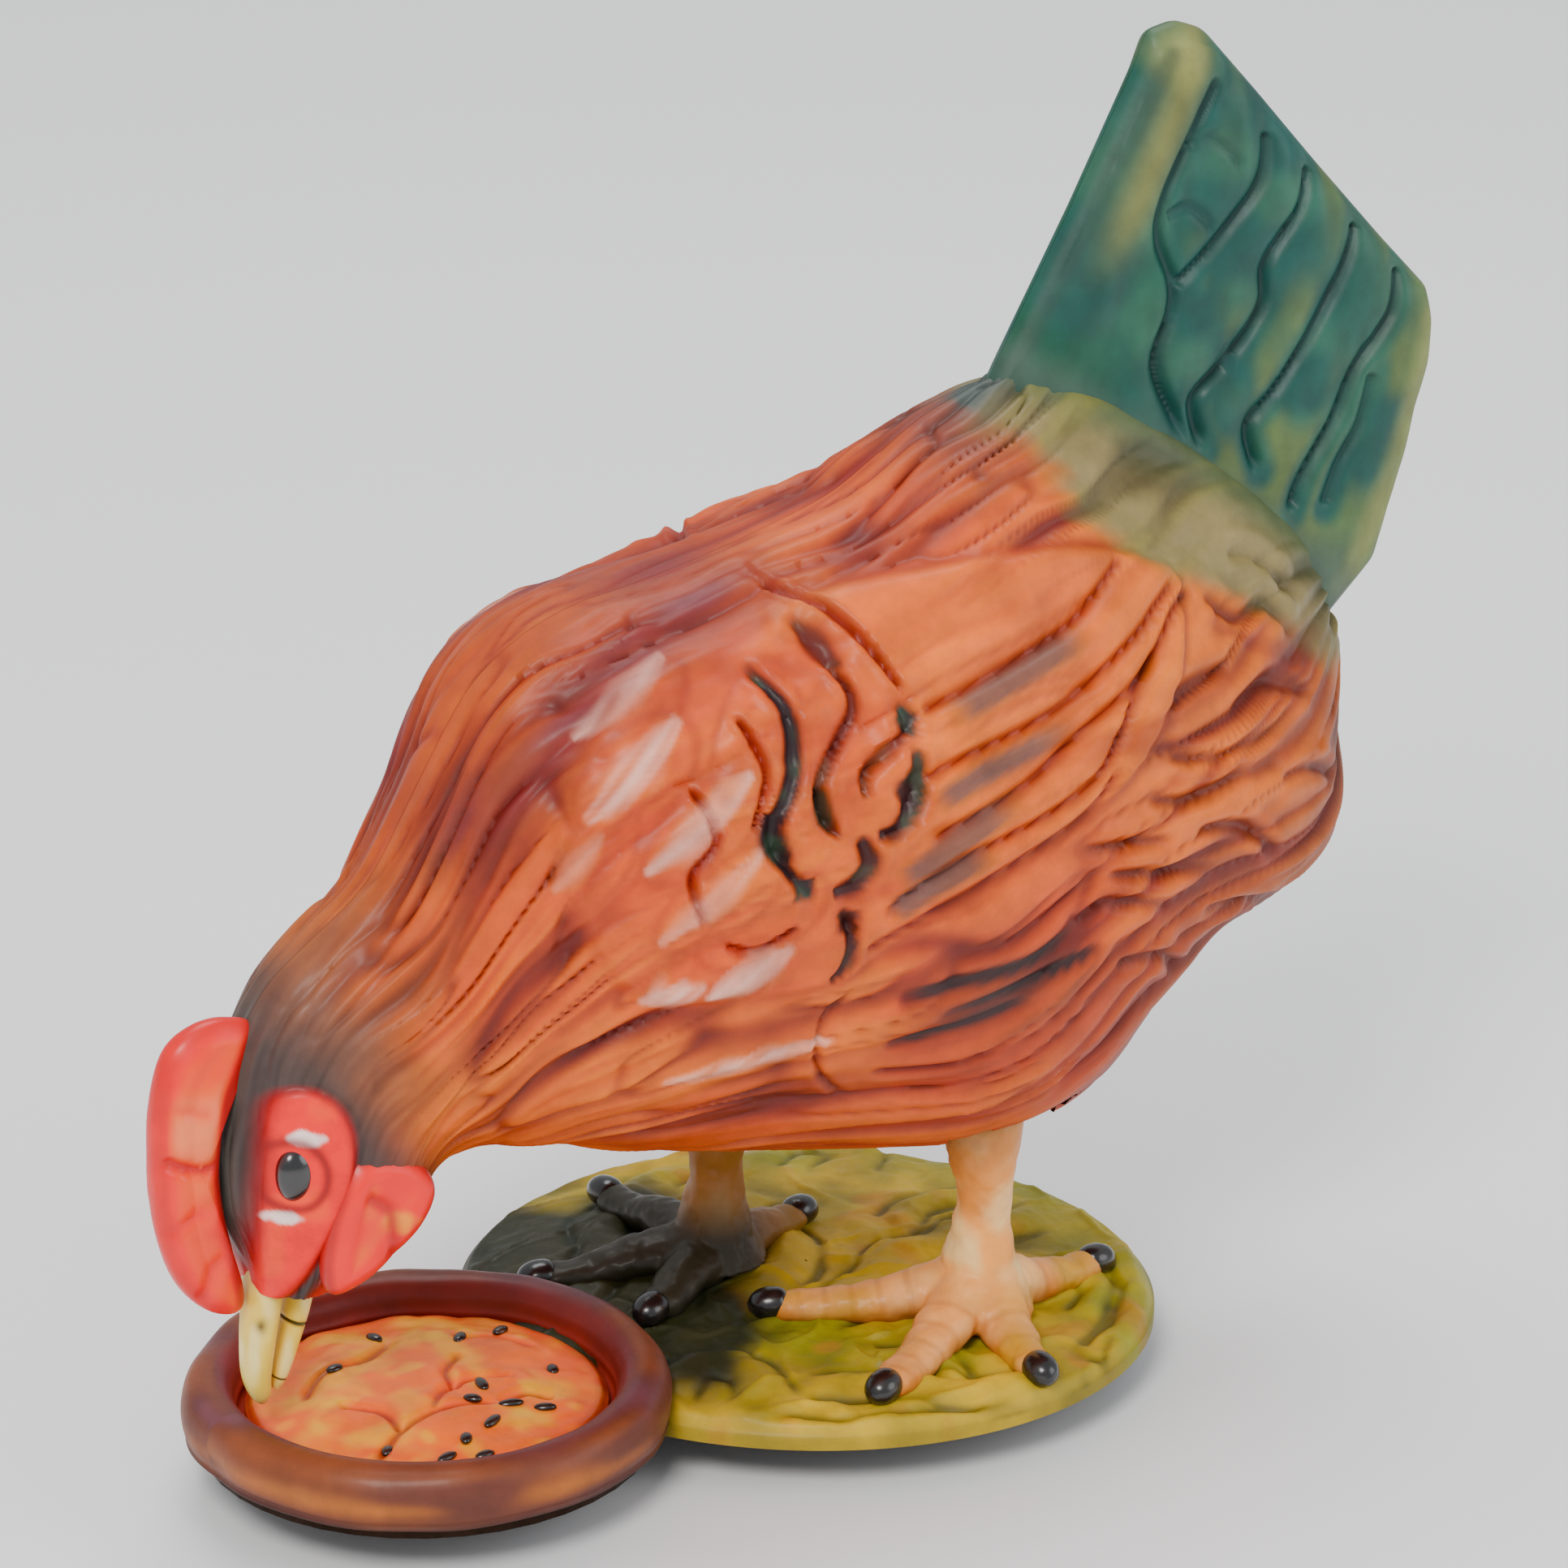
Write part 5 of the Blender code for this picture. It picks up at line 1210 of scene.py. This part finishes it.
def joined_solid(name, solids, voxel):
    """One skin around several overlapping rings-of-points solids."""
    shape = bmesh.new()
    for points, faces in solids:
        verts = [shape.verts.new(Vector(p) * MM) for p in points]
        for face in faces:
            shape.faces.new([verts[i] for i in face])
    bmesh.ops.recalc_face_normals(shape, faces=shape.faces)
    mesh = bpy.data.meshes.new(name)
    shape.to_mesh(mesh)
    shape.free()
    obj = bpy.data.objects.new(name, mesh)
    bpy.context.scene.collection.objects.link(obj)
    skin = obj.modifiers.new("skin", "REMESH")
    skin.mode = "VOXEL"
    skin.voxel_size = voxel * MM
    soft = obj.modifiers.new("soft", "SMOOTH")
    soft.iterations = 4
    apply_modifiers(obj)
    result = obj.data
    bpy.data.objects.remove(obj)
    return result


def leg(label, material):
    """Shank and toes as one moulded skin."""
    shank, toes = leg_paths(label)
    solids = [join_rings(swept(shank, 40, 28))] + [join_rings(swept(toe, 40, 24)) for toe in toes]
    mesh = joined_solid("leg_" + label, solids, 0.34)
    mesh.name = "hen_leg_" + label
    points = coordinates(mesh)
    normals = np.empty(len(points) * 3)
    mesh.vertices.foreach_get("normal", normals)
    normals = normals.reshape(-1, 3)
    x, y, z = points[:, 0], points[:, 1], points[:, 2]
    fx, fy = FOOT[label]
    reach = np.hypot(x - fx, y - fy)
    scale_lines = np.sin(2 * math.pi * reach / 3.3 + 0.8 * noise(points, 4, 121))
    on_toe = step(6.0, 9.0, reach) * step(18, 12, z)
    rough = 0.16 * noise(points, 2.4, 122) + 0.07 * noise(points, 0.9, 123)
    height = 1.5 * rough + 0.04 * on_toe * scale_lines
    moved = points + normals * height[:, None]
    mesh.vertices.foreach_set("co", (moved * MM).ravel())
    tint = noise(points, 5, 124) + 0.4 * noise(points, 1.8, 125)
    base = mix(srgb(242, 174, 124), srgb(255, 214, 166), step(-0.4, 0.7, tint))
    # The second and third coats are painted light and painted shade: lighter where the skin faces up, darker
    # where it faces down.
    base = coats(base, ((168, 104, 64), 0.65 * step(11, 6, z)),
                 ((240, 180, 136), 0.5 * step(0.2, 0.8, normals[:, 2])),
                 ((132, 70, 54), 0.6 * step(0.2, -0.7, normals[:, 2])),
                 ((150, 92, 62), 0.25 * on_toe * step(0.5, 0.95, -scale_lines)))
    olive = step(-0.2, 0.6, noise(points, 6, 126)) * step(13, 6, z)
    base = mix(base, srgb(176, 148, 78), 0.6 * olive)
    # The far leg is darkened all over as painted shade, and its foot nearly black as a painted shadow under the
    # body.
    if label == "right":
        base = mix(base, srgb(104, 84, 54), 0.75 + 0 * z)
        base = mix(base, srgb(24, 30, 24), 0.94 * step(17, 10, z) * step(4, -8, x))
    base = mix(base, srgb(90, 50, 40), 0.5 * step(24, 30, z))
    paint(mesh, base)
    return piece("hen_leg_" + label, mesh, material, "base", ("leg_" + label,), angle=0)


def leg_strap(label, material):
    """The flat tin strap from the shank up to the hip screw, hidden inside the body."""
    fx, _ = FOOT[label]
    y, steps = STRAP_Y[label], 40
    path = [(fx, 27.5), (fx * 0.75 + HIP[0] * 0.25, 35.0), (fx * 0.3 + HIP[0] * 0.7, 45.0), HIP]
    line = catmull_rom(path, steps)
    along = np.gradient(line, axis=0)
    along /= np.linalg.norm(along, axis=1, keepdims=True)
    across = np.stack([-along[:, 1], along[:, 0]], axis=1)
    half = np.interp(np.linspace(0, 1, steps), [0, 0.3, 0.85, 1.0], [2.4, 3.0, 3.4, 3.4])[:, None]
    ring = np.concatenate([line - across * half, (line + across * half)[::-1]])
    points = np.concatenate([np.insert(ring, 1, y - 0.7, axis=1), np.insert(ring, 1, y + 0.7, axis=1)])
    count = len(ring)
    faces = []
    for a in range(steps - 1):
        b = count - 1 - a
        faces.append((a, a + 1, b - 1, b))
        faces.append((count + a, count + b, count + b - 1, count + a + 1))
    for a in range(count):
        b = (a + 1) % count
        faces.append((a, count + a, count + b, b))
    tint = mix(srgb(150, 146, 138), srgb(176, 172, 162), step(-0.3, 0.6, noise(points, 4, 131)))
    return closed_piece("leg_strap_" + label, points, faces, tint, material, "base", angle=30)


def claws(label, material):
    """The black claws of one foot: short pointed horns at the ends of its toes."""
    parts = []
    for tx, ty, ux, uy, _, z in toe_rays(label):
        path = [(tx - ux * 3.4, ty - uy * 3.4, z + 1.3, 0.6, 0.6),
                (tx - ux * 2.8, ty - uy * 2.8, z + 1.4, 1.9, 1.8),
                (tx - ux * 1.0, ty - uy * 1.0, z + 1.3, 2.15, 2.0),
                (tx + ux * 0.5, ty + uy * 0.5, z + 1.0, 1.6, 1.5),
                (tx + ux * 1.3, ty + uy * 1.3, z + 0.8, 0.5, 0.5)]
        parts.append(join_rings(swept(path, 24, 20)))
    points, faces = merged(parts)
    shade = mix(srgb(18, 16, 16), srgb(44, 36, 32), step(0.0, 0.8, noise(points, 1.5, 132)))
    return closed_piece("hen_claws_" + label, points, faces, shade, material, "base")


# ---------------------------------------------------------------- the pieces that stay as modelled

def dress_mechanism():
    """Gives the clockwork, the bottom plate and the key their metals."""
    brass = metal_material("brass_metal", tuple(srgb(206, 164, 84)), 0.30)
    steel = metal_material("tin_steel_metal", tuple(srgb(176, 176, 172)), 0.36)
    spring = metal_material("spring_steel_metal", tuple(srgb(92, 98, 112)), 0.28)
    lacquer = metal_material("dark_lacquer_metal", tuple(srgb(52, 38, 30)), 0.5)
    for name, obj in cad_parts.items():
        if "spring" in name or "click" in name:
            material = spring
        elif name == "bottom_plate":
            material = lacquer
        elif any(word in name for word in ("wheel", "pinion", "disc", "frame_plate", "bush", "fly")):
            material = brass
        else:
            material = steel
        obj.data.materials.clear()
        obj.data.materials.append(material)


# ---------------------------------------------------------------- light, floor and camera

def light(name, place, aim, size, power, colour=(1, 1, 1)):
    data = bpy.data.lights.new(name, "AREA")
    data.shape = "DISK"
    data.size = size
    data.energy = power
    data.color = colour
    obj = bpy.data.objects.new(name, data)
    obj.location = place
    obj.rotation_euler = (Vector(aim) - Vector(place)).to_track_quat("-Z", "Y").to_euler()
    bpy.context.scene.collection.objects.link(obj)


def studio():
    """A pale floor that curves up behind, soft lamps and the camera."""
    run = [(-14.0, 0.0), (2.4, 0.0), (3.2, 0.1), (3.8, 0.5), (4.1, 1.2), (4.2, 5.0)]
    rows = catmull_rom(run, 40)
    across = 16.0
    points, faces = [], []
    turn = math.radians(30)
    for y, z in rows:
        for x in (-across, across):
            points.append((x * math.cos(turn) + y * math.sin(turn),
                           -x * math.sin(turn) + y * math.cos(turn), z))
    for k in range(len(rows) - 1):
        faces.append((2 * k, 2 * k + 1, 2 * k + 3, 2 * k + 2))
    mesh = bpy.data.meshes.new("floor")
    mesh.from_pydata(points, [], faces)
    mesh.shade_smooth()
    floor = bpy.data.objects.new("floor", mesh)
    bpy.context.scene.collection.objects.link(floor)
    material, _, _, shader = new_material("floor_paper")
    shader.inputs["Base Color"].default_value = (0.90, 0.90, 0.90, 1)
    shader.inputs["Roughness"].default_value = 0.9
    mesh.materials.append(material)

    world = bpy.data.worlds.new("room")
    bpy.context.scene.world = world
    world.use_nodes = True
    world.node_tree.nodes["Background"].inputs["Color"].default_value = (0.93, 0.96, 1.0, 1)
    world.node_tree.nodes["Background"].inputs["Strength"].default_value = 0.7
    light("key", (-0.75, -0.75, 1.1), (-0.01, 0, 0.06), 0.55, 15.0, (1.0, 0.97, 0.93))
    light("fill", (0.9, -0.9, 0.6), (0, 0, 0.07), 0.9, 5.0, (0.95, 0.97, 1.0))
    light("top", (0.15, 0.35, 1.3), (0, 0, 0.08), 0.8, 9.0)

    camera = bpy.data.cameras.new("camera")
    camera.sensor_width = 36.0
    camera.lens = 141.6
    camera.clip_start = 0.01
    obj = bpy.data.objects.new("camera", camera)
    obj.location = (-0.3479, -0.5906, 0.3352)
    look = Vector((0.00693, 0.02383, 0.06279)) - obj.location
    obj.rotation_euler = look.to_track_quat("-Z", "Y").to_euler()
    bpy.context.scene.collection.objects.link(obj)
    bpy.context.scene.camera = obj


def face_depth(side):
    """How far the face is from the middle plane at the eye."""
    points, _, _ = body_points(side)
    gap = np.hypot(points[..., 0] - EYE[0], points[..., 2] - EYE[1])
    near = np.argsort(gap.ravel())[:6]
    return float(np.abs(points[..., 1]).ravel()[near].mean())


def build():
    dress_mechanism()
    plumage = paint_material("plumage_enamel", roughness=0.5, coat=0.06)
    tail = paint_material("tail_enamel", roughness=0.5, coat=0.05)
    comb_paint = paint_material("comb_enamel", roughness=0.4, coat=0.15, vary=0.10)
    horn = paint_material("beak_enamel", roughness=0.4, coat=0.15, vary=0.08)
    glossy = paint_material("eye_gloss_enamel", roughness=0.2, coat=1.0, specular=0.5, bump=0.02, vary=0.05)
    moss = paint_material("moss_enamel", roughness=0.55, coat=0.05, depth_mm=0.25)
    legs = paint_material("leg_enamel", roughness=0.5, coat=0.1, vary=0.15)
    claw = paint_material("claw_enamel", roughness=0.28, coat=0.5, specular=0.5, bump=0.1, vary=0.1)
    dish = paint_material("bowl_enamel", roughness=0.5, coat=0.08)
    grain = paint_material("feed_enamel", roughness=0.45, coat=0.12)
    for side in (-1, 1):
        body_shell(side, plumage)
        tail_shell(side, tail)
        wattle(side, comb_paint)
        eye(side, face_depth(side) - 0.35, glossy)
    comb(comb_paint)
    beak("hen_upper_beak", UPPER_BEAK, "upper_beak", horn, True)
    beak("hen_lower_beak", LOWER_BEAK, "lower_beak", horn, False)
    base_top(moss)
    bowl(dish)
    feed(grain)
    seeds(claw)
    for label in ("left", "right"):
        leg(label, legs)
        leg_strap(label, legs)
        claws(label, claw)


studio()
build()
